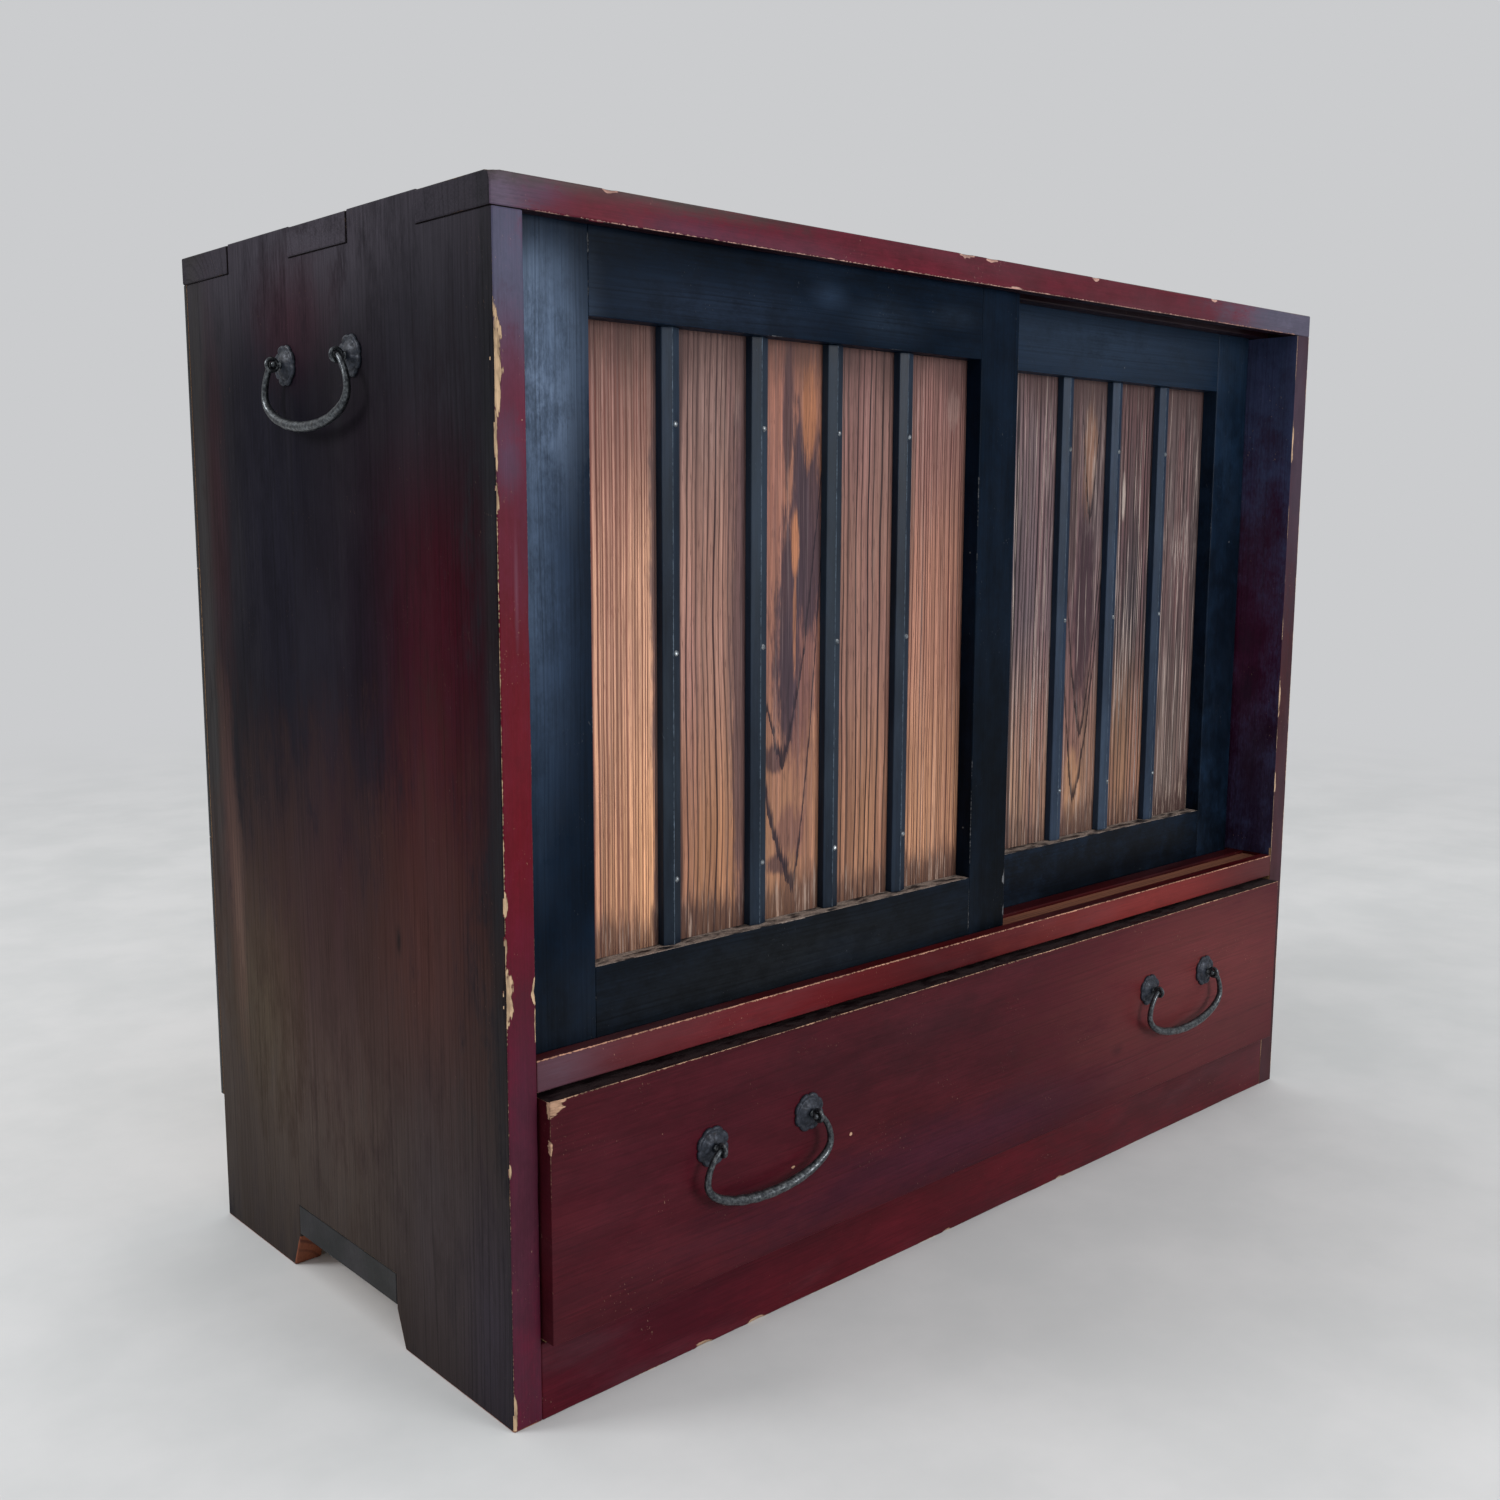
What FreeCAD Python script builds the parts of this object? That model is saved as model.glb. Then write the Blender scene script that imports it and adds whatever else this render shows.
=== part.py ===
import FreeCAD, Part
import math
import os

# A low clothing chest of lacquered softwood boards: a bay with two sliding
# doors above one full-width drawer, with wrought bail handles.
# Millimetres, +Z up, the front faces -Y, the origin is on the floor under
# the middle of the carcass. The drawer is drawn as it stands, a little open.

os.makedirs("parts", exist_ok=True)
Vector = FreeCAD.Vector

# Overall sizes of the carcass
width = 985.0
depth = 447.0
height = 810.0

# Carcass boards
side_thickness = 23.0
top_thickness = 21.0
top_overhang = 1.0
finger_proud = 1.0
back_thickness = 5.0
back_bottom = 109.0
back_board_count = 3
base_thickness = 24.0
base_bottom = 31.0
kick_thickness = 20.0
rear_rail_thickness = 14.5
housing_depth = 8.0
housing_shoulder = 10.0

# Comb joint of the top: where tails and fingers change along the side's depth
joint_shares = (0.195, 0.399, 0.595, 0.822)

# Arch cut in the foot of each side, and the base board's tenon that fills its head
arch_width = 153.0
arch_floor_width = 175.0
arch_offset = 5.0
arch_flare_height = 28.0

# Sill between the bays, with the two door grooves in its upper face
sill_top = 252.5
sill_thickness = 22.0
sill_depth = 90.0
track_lip = 11.5
track_width = 21.0
track_ridge = 16.0
sill_track_depth = 3.0
top_track_depth = 9.0
floor_thickness = 10.0
floor_step = 2.5

# Sliding doors
door_thickness = 30.0
door_setback = 13.5
door_gap = 7.0
door_overlap = 68.0
door_side_gap = 1.5
rear_door_standing_open = 4.0
door_tongue = 18.0
door_tongue_rise = 5.0
door_shoulder_gap = 1.5
slide_gap = 0.3
outer_stile = 57.0
meeting_stile = 48.0
top_rail_height = 54.5
bottom_rail_height = 47.5
tenon_length = 34.0
tenon_thickness = 11.0
tenon_shoulder = 9.0
panel_recess = 15.5
panel_thickness = 7.0
panel_tongue = 6.0
panel_gap = 0.6
batten_shares = (0.19, 0.4, 0.596, 0.796)
batten_width = 16.0
batten_edge = 6.5
batten_ridge = 9.0

# Nails of the battens and of the back
nail_radius = 0.9
nail_head_radius = 1.8
nail_head_depth = 0.7
nail_head_rise = 0.9
nail_tip_cover = 1.5
nail_point_share = 0.5
nail_row_shares = (0.15, 0.515, 0.89)
nail_offset_share = 0.17
back_nail_rows = 3
back_nail_reach = 18.0

# Drawer
drawer_standing_open = 11.0
drawer_gap = 2.0
drawer_box_gap = 2.5
drawer_front_thickness = 22.0
drawer_front_lift = 2.0
drawer_top_gap = 3.7
drawer_board = 12.0
drawer_head_room = 24.7
drawer_bottom_thickness = 8.0
drawer_joint_zones = 5
drawer_stop_gap = 0.5

# Wrought bail handles
post_spacing = 97.0
handle_standoff = 11.0
eye_radius = 4.2
eye_wire = 1.6
post_radius = 2.2
post_hole_gap = 0.05
clinch_length = 14.0
clinch_width = 3.0
clinch_thickness = 1.4
bail_pin_radius = 2.3
bail_pin_reach = 5.0
bail_end_radius = 2.7
bail_mid_radius = 4.4
bail_half_width = 62.0
bail_widest_drop = 22.0
bail_drop = 46.0
bail_shoulder = 2.0
bail_stations = 17
rosette_radius = 15.0
rosette_valley = 13.4
rosette_plate = 1.6
rosette_dome_radius = 12.0
rosette_dome_rise = 3.4
rosette_lobes = 8
drawer_handle_inset = 188.5
drawer_handle_height = 158.0
side_handle_drop = 97.0

overrun = 5.0

# Planes and places that follow from the sizes above
front_y = -depth / 2
back_y = depth / 2 - back_thickness
outer_x = width / 2 - top_overhang
inner_x = outer_x - side_thickness
top_surface = height - finger_proud
top_underside = top_surface - top_thickness
base_top = base_bottom + base_thickness
side_handle_height = height - side_handle_drop
sill_bottom = sill_top - sill_thickness
front_track_y = front_y + track_lip
rear_track_y = front_track_y + track_width + track_ridge
sill_back_y = front_y + sill_depth
floor_top = sill_top - floor_step
floor_bottom = floor_top - floor_thickness
front_door_y = front_y + door_setback
rear_door_y = front_door_y + door_thickness + door_gap
drawer_face_y = front_y - drawer_standing_open
drawer_half_width = inner_x - drawer_gap
drawer_handle_offset = drawer_half_width - drawer_handle_inset
drawer_back_y = back_y - rear_rail_thickness - drawer_stop_gap - drawer_standing_open


def box(x0, x1, y0, y1, z0, z1):
    """A block between two corners."""
    return Part.makeBox(x1 - x0, y1 - y0, z1 - z0, Vector(x0, y0, z0))


def rod(radius, start, end):
    """A round bar between two points."""
    axis = end - start
    return Part.makeCylinder(radius, axis.Length, start, axis)


def save(name, shape):
    """One file per piece."""
    shape.removeSplitter().exportStep("parts/" + name + ".step")


def save_group(name, solids):
    """Separate solids that share one file."""
    Part.makeCompound(solids).exportStep("parts/" + name + ".step")


def joint_places():
    """Depths at which the comb joint changes, from the front edge."""
    side_depth = back_y - front_y
    return [front_y + share * side_depth for share in joint_shares]


def fingers(sign):
    """The two fingers of a side that stand up through the top."""
    cuts = joint_places()
    x0, x1 = sorted((sign * inner_x, sign * outer_x))
    pairs = ((cuts[0], cuts[1]), (cuts[2], cuts[3]))
    return [box(x0, x1, y0, y1, top_underside, height) for y0, y1 in pairs]


def arch_prism(x0, x1):
    """The space of the foot arch, flared towards the floor."""
    half = arch_width / 2
    flare = arch_floor_width / 2
    outline = [
        (arch_offset - flare, 0),
        (arch_offset - half, arch_flare_height),
        (arch_offset - half, base_top),
        (arch_offset + half, base_top),
        (arch_offset + half, arch_flare_height),
        (arch_offset + flare, 0),
    ]
    points = [Vector(x0, y, z) for y, z in outline]
    face = Part.Face(Part.makePolygon(points + points[:1]))
    return face.extrude(Vector(x1 - x0, 0, 0))


def side_board(sign):
    """A side, with its arch, its fingers and the housings of the boards it holds."""
    x0, x1 = sorted((sign * inner_x, sign * outer_x))
    board = box(x0, x1, front_y, back_y, 0, top_underside)
    for finger in fingers(sign):
        board = board.fuse(finger)
    board = board.cut(arch_prism(x0 - overrun, x1 + overrun))
    h0, h1 = sorted((sign * inner_x, sign * (inner_x + housing_depth)))
    board = board.cut(housing_block(h0, h1, sill_bottom, sill_top))
    board = board.cut(floor_block(h0, h1))
    for hole in handle_holes(side_handle_place(sign)):
        board = board.cut(hole)
    for hole in back_nails(sign):
        board = board.cut(hole)
    return board


def housing_block(x0, x1, z0, z1):
    """The sill's stub tenon: it stops short of the front edge."""
    return box(x0, x1, front_y + housing_shoulder, sill_back_y, z0, z1)


def floor_block(x0, x1):
    """The bay floor behind the sill, or its housing, between two planes."""
    return box(x0, x1, sill_back_y, back_y, floor_bottom, floor_top)


def top_board():
    """The top, notched for the fingers and grooved for the doors."""
    half = width / 2
    board = box(-half, half, front_y, depth / 2, top_underside, top_surface)
    for sign in (-1, 1):
        for finger in fingers(sign):
            span = finger.BoundBox
            x0, x1 = sorted((sign * inner_x, sign * (half + overrun)))
            board = board.cut(box(x0, x1, span.YMin, span.YMax, top_underside, height))
    for track_y in (front_track_y, rear_track_y):
        groove_top = top_underside + top_track_depth
        board = board.cut(box(-inner_x, inner_x, track_y, track_y + track_width, top_underside, groove_top))
    return board


def sill():
    """The rail between the bays, with its two door grooves."""
    rail = box(-inner_x, inner_x, front_y, sill_back_y, sill_bottom, sill_top)
    reach = inner_x + housing_depth
    rail = rail.fuse(housing_block(-reach, reach, sill_bottom, sill_top))
    for track_y in (front_track_y, rear_track_y):
        groove_floor = sill_top - sill_track_depth
        groove = box(-inner_x, inner_x, track_y, track_y + track_width, groove_floor, sill_top)
        rail = rail.cut(groove)
    return rail


def base_board():
    """The base, with a broad tenon at each end that shows in the arch."""
    kick_back = front_y + kick_thickness
    board = box(-inner_x, inner_x, kick_back, back_y, base_bottom, base_top)
    half = arch_width / 2
    tenon = box(-outer_x, outer_x, arch_offset - half, arch_offset + half, base_bottom, base_top)
    return board.fuse(tenon)


def nail(start, direction, length):
    """A hand-made nail: a shank under a low tapered head. start is under the head."""
    tip = start + direction * length
    shank = rod(nail_radius, start, tip)
    outward = -direction
    collar_end = start + outward * nail_head_depth
    collar = rod(nail_head_radius, start, collar_end)
    crown = Part.makeCone(nail_head_radius, nail_head_radius * nail_point_share, nail_head_rise, collar_end, outward)
    return shank.fuse(collar).fuse(crown)


def back_board_span(index):
    """Lower and upper edge of one board of the back."""
    board_height = (top_underside - back_bottom) / back_board_count
    z0 = back_bottom + index * board_height
    return z0, z0 + board_height


def back_nails(sign):
    """The nails that hold the back boards to one side."""
    nails = []
    x = sign * (inner_x + side_thickness / 2)
    for index in range(back_board_count):
        z0, z1 = back_board_span(index)
        for row in range(back_nail_rows):
            z = z0 + (z1 - z0) * (row + 1) / (back_nail_rows + 1)
            start = Vector(x, depth / 2 - nail_head_depth, z)
            nails.append(nail(start, Vector(0, -1, 0), back_nail_reach))
    return nails


def handle_placement(x, y, z, turn):
    """Local frame of a handle: hinge along X, -Y outward, origin on the face."""
    rotation = FreeCAD.Rotation(Vector(0, 0, 1), turn)
    return FreeCAD.Placement(Vector(x, y, z), rotation)


def side_handle_place(sign):
    """Where a carrying handle sits on a side."""
    return handle_placement(sign * outer_x, 0, side_handle_height, sign * 90)


def drawer_handle_place(sign):
    """Where a pull sits on the drawer."""
    return handle_placement(sign * drawer_handle_offset, drawer_face_y, drawer_handle_height, 0)


def placed(shape, placement):
    """A copy of a shape moved from the handle's frame to its place."""
    copy = shape.copy()
    copy.Placement = placement.multiply(copy.Placement)
    return copy


def handle_holes(placement):
    """Holes for the two posts, through the board behind a handle."""
    board = max(side_thickness, drawer_front_thickness)
    holes = []
    for side in (-1, 1):
        x = side * post_spacing / 2
        start = Vector(x, -overrun, 0)
        end = Vector(x, board + overrun, 0)
        holes.append(placed(rod(post_radius + post_hole_gap, start, end), placement))
    return holes


def bail_point(share):
    """A point of the bail's centre line, from one end (0) to the other (1)."""
    end_x = post_spacing / 2 + bail_shoulder
    rise = bail_widest_drop / math.sqrt(1 - (end_x / bail_half_width) ** 2)
    end_angle = math.acos(end_x / bail_half_width)
    angle = end_angle - share * (math.pi + 2 * end_angle)
    lift = rise if math.sin(angle) > 0 else bail_drop - bail_widest_drop
    x = bail_half_width * math.cos(angle)
    z = -bail_widest_drop + lift * math.sin(angle)
    return Vector(x, -handle_standoff, z)


def bail():
    """The swinging bail: a bar, thickest in the middle, with a pin at each end."""
    sections = []
    small_step = 1 / (bail_stations * bail_stations)
    for index in range(bail_stations):
        share = index / (bail_stations - 1)
        before = bail_point(max(share - small_step, 0))
        after = bail_point(min(share + small_step, 1))
        swell = math.sin(math.pi * share) ** 2
        radius = bail_end_radius + (bail_mid_radius - bail_end_radius) * swell
        circle = Part.makeCircle(radius, bail_point(share), after - before)
        sections.append(Part.Wire([circle]))
    bar = Part.makeLoft(sections, True, False)
    for side in (-1, 1):
        elbow_x = side * (post_spacing / 2 + bail_shoulder)
        tip_x = side * (post_spacing / 2 - bail_pin_reach)
        elbow = Vector(elbow_x, -handle_standoff, 0)
        tip = Vector(tip_x, -handle_standoff, 0)
        bar = bar.fuse(Part.makeSphere(bail_end_radius, elbow))
        bar = bar.fuse(rod(bail_pin_radius, elbow, tip))
    return bar


def rosette():
    """A lobed plate with a low dome and a hole for the post, on the face y = 0."""
    edges = []
    step = 2 * math.pi / rosette_lobes
    for lobe in range(rosette_lobes):
        ring = []
        for share, radius in ((0, rosette_valley), (0.5, rosette_radius), (1, rosette_valley)):
            angle = (lobe + share) * step
            ring.append(Vector(radius * math.cos(angle), 0, radius * math.sin(angle)))
        edges.append(Part.Arc(*ring).toShape())
    plate = Part.Face(Part.Wire(edges)).extrude(Vector(0, -rosette_plate, 0))
    ball_radius = (rosette_dome_radius ** 2 + rosette_dome_rise ** 2) / (2 * rosette_dome_rise)
    centre = Vector(0, ball_radius - rosette_plate - rosette_dome_rise, 0)
    ball = Part.makeSphere(ball_radius, centre)
    reach = rosette_radius
    cap = ball.common(box(-reach, reach, -reach, -rosette_plate, -reach, reach))
    boss = plate.fuse(cap)
    hole = rod(post_radius + post_hole_gap, Vector(0, overrun, 0), Vector(0, -reach, 0))
    return boss.cut(hole)


def post(board):
    """An eye on a split shank, its legs clinched over behind the board."""
    shank_end = Vector(0, board, 0)
    eye_back = Vector(0, eye_radius - handle_standoff, 0)
    shank = rod(post_radius, eye_back, shank_end)
    eye = Part.makeTorus(eye_radius, eye_wire, Vector(0, -handle_standoff, 0), Vector(1, 0, 0))
    clinch = box(
        -clinch_length / 2, clinch_length / 2,
        board, board + clinch_thickness,
        -clinch_width / 2, clinch_width / 2,
    )
    eye_hole = rod(
        eye_radius - eye_wire,
        Vector(-eye_radius, -handle_standoff, 0),
        Vector(eye_radius, -handle_standoff, 0),
    )
    return shank.fuse(eye).fuse(clinch).cut(eye_hole)


def save_handle(name, placement, board):
    """The bail, the two plates and the two posts of one handle."""
    save(name + "_bail", placed(bail(), placement))
    plates = []
    posts = []
    for side in (-1, 1):
        offset = FreeCAD.Placement(Vector(side * post_spacing / 2, 0, 0), FreeCAD.Rotation())
        plates.append(placed(placed(rosette(), offset), placement))
        posts.append(placed(placed(post(board), offset), placement))
    save_group(name + "_plates", plates)
    save_group(name + "_posts", posts)


def door(name, x0, x1, face_y, outer_is_left):
    """A framed sliding door: two stiles, two rails, five boards, four battens and nails."""
    tongue_z0 = sill_top - sill_track_depth + slide_gap
    frame_z0 = sill_top + door_shoulder_gap
    frame_z1 = top_underside - door_shoulder_gap
    tongue_z1 = top_underside + door_tongue_rise
    back = face_y + door_thickness
    tongue_back = face_y + door_tongue
    left_stile = outer_stile if outer_is_left else meeting_stile
    right_stile = meeting_stile if outer_is_left else outer_stile
    open_x0 = x0 + left_stile
    open_x1 = x1 - right_stile
    open_z0 = frame_z0 + bottom_rail_height
    open_z1 = frame_z1 - top_rail_height
    panel_y0 = face_y + panel_recess
    panel_y1 = panel_y0 + panel_thickness
    tenon_y0 = panel_y0 + (panel_thickness - tenon_thickness) / 2
    tenon_y1 = tenon_y0 + tenon_thickness

    def framed(left, right, low, high):
        return box(left, right, face_y, back, low, high)

    def tongued(left, right, low, high):
        return box(left, right, face_y, tongue_back, low, high)

    rail_spans = {
        "bottom_rail": (frame_z0, open_z0),
        "top_rail": (open_z1, frame_z1),
    }
    tenons = {}
    for rail, (low, high) in rail_spans.items():
        tenons[rail] = box(
            open_x0 - tenon_length, open_x1 + tenon_length,
            tenon_y0, tenon_y1,
            low + tenon_shoulder, high - tenon_shoulder,
        )
    panel_space = box(
        open_x0 - panel_tongue, open_x1 + panel_tongue,
        panel_y0, panel_y1,
        open_z0 - panel_tongue, open_z1 + panel_tongue,
    )

    for rail, (low, high) in rail_spans.items():
        at_bottom = rail == "bottom_rail"
        tongue_low = tongue_z0 if at_bottom else high
        tongue_high = low if at_bottom else tongue_z1
        piece = framed(open_x0, open_x1, low, high)
        piece = piece.fuse(tongued(open_x0, open_x1, tongue_low, tongue_high))
        piece = piece.fuse(tenons[rail]).cut(panel_space)
        save(name + "_" + rail, piece)

    stile_spans = {"left_stile": (x0, open_x0), "right_stile": (open_x1, x1)}
    for stile, (left, right) in stile_spans.items():
        piece = framed(left, right, frame_z0, frame_z1)
        piece = piece.fuse(tongued(left, right, tongue_z0, tongue_z1))
        for tenon in tenons.values():
            piece = piece.cut(tenon)
        save(name + "_" + stile, piece.cut(panel_space))

    ridges = [open_x0 + share * (open_x1 - open_x0) for share in batten_shares]
    joints = [open_x0] + ridges + [open_x1]
    nails = []
    for ridge_x in ridges:
        nail_x = ridge_x + nail_offset_share * batten_width
        slope_drop = (batten_ridge - batten_edge) * 2 * nail_offset_share
        seat_y = panel_y0 - batten_ridge + slope_drop + nail_head_depth
        nail_length = panel_y1 - nail_tip_cover - seat_y
        for share in nail_row_shares:
            nail_z = open_z1 - share * (open_z1 - open_z0)
            nails.append(nail(Vector(nail_x, seat_y, nail_z), Vector(0, 1, 0), nail_length))
    save_group(name + "_nails", nails)
    nail_space = Part.makeCompound(nails)

    for index in range(len(ridges) + 1):
        left = joints[index] + panel_gap / 2
        right = joints[index + 1] - panel_gap / 2
        if index == 0:
            left = open_x0 - panel_tongue
        if index == len(ridges):
            right = open_x1 + panel_tongue
        low = open_z0 - panel_tongue
        high = open_z1 + panel_tongue
        board = box(left, right, panel_y0, panel_y1, low, high)
        save(name + "_board_" + str(index + 1), board.cut(nail_space))

    for index, ridge_x in enumerate(ridges, start=1):
        half = batten_width / 2
        outline = [
            (ridge_x - half, panel_y0),
            (ridge_x - half, panel_y0 - batten_edge),
            (ridge_x, panel_y0 - batten_ridge),
            (ridge_x + half, panel_y0 - batten_edge),
            (ridge_x + half, panel_y0),
        ]
        points = [Vector(x, y, open_z0) for x, y in outline]
        face = Part.Face(Part.makePolygon(points + points[:1]))
        batten = face.extrude(Vector(0, 0, open_z1 - open_z0))
        save(name + "_batten_" + str(index), batten.cut(nail_space))


def drawer():
    """The drawer: a thick front on a finger-jointed box with the bottom nailed under it."""
    front_back = drawer_face_y + drawer_front_thickness
    socket_y = front_back - drawer_board
    half_box = inner_x - drawer_box_gap
    bottom_z = base_top + slide_gap
    box_z0 = bottom_z + drawer_bottom_thickness
    box_z1 = floor_bottom - drawer_head_room
    front_z0 = base_top + drawer_front_lift
    front_z1 = sill_bottom - drawer_top_gap
    zone = (box_z1 - box_z0) / drawer_joint_zones

    front = box(-drawer_half_width, drawer_half_width, drawer_face_y, front_back, front_z0, front_z1)
    back = box(-half_box, half_box, drawer_back_y - drawer_board, drawer_back_y, box_z0, box_z1)
    for sign in (-1, 1):
        x0, x1 = sorted((sign * half_box, sign * (half_box - drawer_board)))
        wall = box(x0, x1, front_back, drawer_back_y, box_z0, box_z1)
        for index in range(drawer_joint_zones):
            low = box_z0 + index * zone
            high = low + zone
            if index % 2 == 0:
                tooth = box(x0, x1, socket_y, front_back, low, high)
                wall = wall.fuse(tooth)
                front = front.cut(tooth)
                back = back.cut(box(x0, x1, drawer_back_y - drawer_board, drawer_back_y, low, high))
            else:
                wall = wall.cut(box(x0, x1, drawer_back_y - drawer_board, drawer_back_y, low, high))
        save("drawer_left_wall" if sign < 0 else "drawer_right_wall", wall)
    for sign in (-1, 1):
        for hole in handle_holes(drawer_handle_place(sign)):
            front = front.cut(hole)
    rabbet = box(-half_box, half_box, socket_y, front_back, front_z0, box_z0)
    save("drawer_front", front.cut(rabbet))
    save("drawer_back", back)
    bottom = box(-half_box, half_box, socket_y, drawer_back_y, bottom_z, box_z0)
    save("drawer_bottom", bottom)


def carcass():
    """The fixed boards of the chest."""
    save("left_side", side_board(-1))
    save("right_side", side_board(1))
    save("top_board", top_board())
    save("sill_rail", sill())
    reach = inner_x + housing_depth
    save("bay_floor", floor_block(-reach, reach))
    save("base_board", base_board())
    kick_back = front_y + kick_thickness
    save("kick_board", box(-inner_x, inner_x, front_y, kick_back, 0, base_top))
    rear_rail_y = back_y - rear_rail_thickness
    save("rear_rail", box(-inner_x, inner_x, rear_rail_y, back_y, base_top, back_bottom))
    nails = back_nails(-1) + back_nails(1)
    save_group("back_nails", nails)
    nail_space = Part.makeCompound(nails)
    for index in range(back_board_count):
        z0, z1 = back_board_span(index)
        board = box(-outer_x, outer_x, back_y, depth / 2, z0, z1)
        save("back_board_" + str(index + 1), board.cut(nail_space))


carcass()

door_reach = inner_x - door_side_gap
door_width = door_reach + door_overlap / 2
door("front_door", -door_reach, -door_reach + door_width, front_door_y, True)
rear_door_x1 = door_reach - rear_door_standing_open
door("rear_door", rear_door_x1 - door_width, rear_door_x1, rear_door_y, False)

drawer()

save_handle("left_handle", side_handle_place(-1), side_thickness)
save_handle("right_handle", side_handle_place(1), side_thickness)
save_handle("drawer_left_pull", drawer_handle_place(-1), drawer_front_thickness)
save_handle("drawer_right_pull", drawer_handle_place(1), drawer_front_thickness)
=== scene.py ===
# %% [markdown]
# # A lacquered clothing chest with sliding doors
# This lesson dresses a finished, measured model of a low wooden chest. The
# measured model, the frame, already has every board, door, drawer and handle
# in its place. Here each board gets softened arrises and a worn lacquer, the
# door boards get their weathered grain, and the iron is forged again with
# hammer marks. We start by loading the frame. Nothing in it is moved: a piece
# is either given a finish, or replaced by a finer piece in the same place.

# %% Load the frame
import math

import bmesh
import bpy
from mathutils import Matrix, Vector, noise


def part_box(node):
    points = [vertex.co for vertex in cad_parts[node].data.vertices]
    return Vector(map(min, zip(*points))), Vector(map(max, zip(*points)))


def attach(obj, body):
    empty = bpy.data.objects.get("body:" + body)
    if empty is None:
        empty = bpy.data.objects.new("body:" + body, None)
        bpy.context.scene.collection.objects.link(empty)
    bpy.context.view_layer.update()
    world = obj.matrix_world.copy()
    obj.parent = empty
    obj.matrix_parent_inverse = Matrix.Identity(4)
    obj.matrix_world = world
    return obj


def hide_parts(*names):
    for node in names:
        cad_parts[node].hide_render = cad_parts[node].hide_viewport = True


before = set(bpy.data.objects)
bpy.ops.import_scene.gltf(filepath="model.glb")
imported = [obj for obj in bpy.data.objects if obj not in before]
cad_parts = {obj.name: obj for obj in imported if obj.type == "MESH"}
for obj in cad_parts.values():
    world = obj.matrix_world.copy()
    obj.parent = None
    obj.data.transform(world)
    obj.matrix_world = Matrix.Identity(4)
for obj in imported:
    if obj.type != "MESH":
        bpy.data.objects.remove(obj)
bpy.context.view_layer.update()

MM = 0.001

# %% [markdown]
# ## The camera
# The chest is seen from its front left corner, a little above its middle.
# The place, the turn and the lens come from matching the carcass corners to
# the view, so they are written as plain measured values. Pitch is measured
# up from level, so that a negative one looks down, and yaw from straight back
# towards the right.

# %% Camera
camera_place = Vector((-1.0202, -1.0275, 0.6037))
camera_yaw = math.radians(42.36)
camera_pitch = math.radians(-8.06)
camera_roll = math.radians(0.164)
camera_lens = 36.99

camera_data = bpy.data.cameras.new("camera")
camera_data.lens = camera_lens
camera_data.sensor_width = 36.0
camera_data.shift_x, camera_data.shift_y = 0.0044, -0.0089
camera = bpy.data.objects.new("camera", camera_data)
camera.location = camera_place
turns = (("Z", -camera_yaw), ("X", math.pi / 2 + camera_pitch), ("Z", camera_roll))
for axis, angle in turns:
    camera.matrix_basis = camera.matrix_basis @ Matrix.Rotation(angle, 4, axis)
bpy.context.scene.collection.objects.link(camera)
bpy.context.scene.camera = camera
bpy.context.scene.view_settings.view_transform = "Standard"
print("camera at", tuple(camera.location), "lens", camera_lens)

# %% [markdown]
# ## Small helpers for shader nodes
# A node material is a long chain of small steps. Short helpers keep each step
# on one line: `put` adds any node and fills its sockets, `calc` is one Math
# step with `plus`, `minus` and `times` as its commonest kinds, `ease` is a
# smooth Map Range, and `tint` mixes two colours. Each gives back the output
# socket, so that steps nest like a formula.

# %% Shader helpers
def feed(tree, value, socket):
    """Link an output to a socket, or set the socket to a plain value."""
    if isinstance(value, bpy.types.NodeSocket):
        tree.links.new(value, socket)
    else:
        socket.default_value = value


def put(tree, kind, values, settings=None, out=0):
    """Add a node, fill its inputs and give back one of its outputs."""
    node = tree.nodes.new(kind)
    for key, value in (settings or {}).items():
        setattr(node, key, value)
    for key, value in values.items():
        feed(tree, value, node.inputs[key])
    return node.outputs[out]


def calc(tree, operation, *values):
    return put(tree, "ShaderNodeMath", dict(enumerate(values)), {"operation": operation})


def plus(tree, first, second):
    return calc(tree, "ADD", first, second)


def minus(tree, first, second):
    return calc(tree, "SUBTRACT", first, second)


def times(tree, first, *others):
    """The product of two or more values."""
    for other in others:
        first = calc(tree, "MULTIPLY", first, other)
    return first


def vector_calc(tree, operation, *values, out=0):
    return put(tree, "ShaderNodeVectorMath", dict(enumerate(values)), {"operation": operation}, out)


def ease(tree, value, start, stop, low=0.0, high=1.0):
    values = {"Value": value, "From Min": start, "From Max": stop, "To Min": low, "To Max": high}
    return put(tree, "ShaderNodeMapRange", values, {"interpolation_type": "SMOOTHSTEP"})


def tint(tree, share, below, above, how="MIX"):
    node = tree.nodes.new("ShaderNodeMix")
    node.data_type = "RGBA"
    node.blend_type = how
    for label, value in (("Factor_Float", share), ("A_Color", below), ("B_Color", above)):
        socket = next(s for s in node.inputs if s.identifier == label)
        feed(tree, value, socket)
    return next(s for s in node.outputs if s.identifier == "Result_Color")


def shade_by(tree, colour, tone):
    """Multiply a colour by a grey value."""
    grey = put(tree, "ShaderNodeCombineColor", {0: tone, 1: tone, 2: tone})
    return tint(tree, 1.0, colour, grey, "MULTIPLY")


def cloud(tree, place, stretch, detail=3.0, rough=0.5):
    """Noise whose features measure about 1 / stretch metres along each axis."""
    scaled = vector_calc(tree, "MULTIPLY", place, stretch)
    values = {"Vector": scaled, "Scale": 1.0, "Detail": detail, "Roughness": rough}
    return put(tree, "ShaderNodeTexNoise", values)


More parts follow.
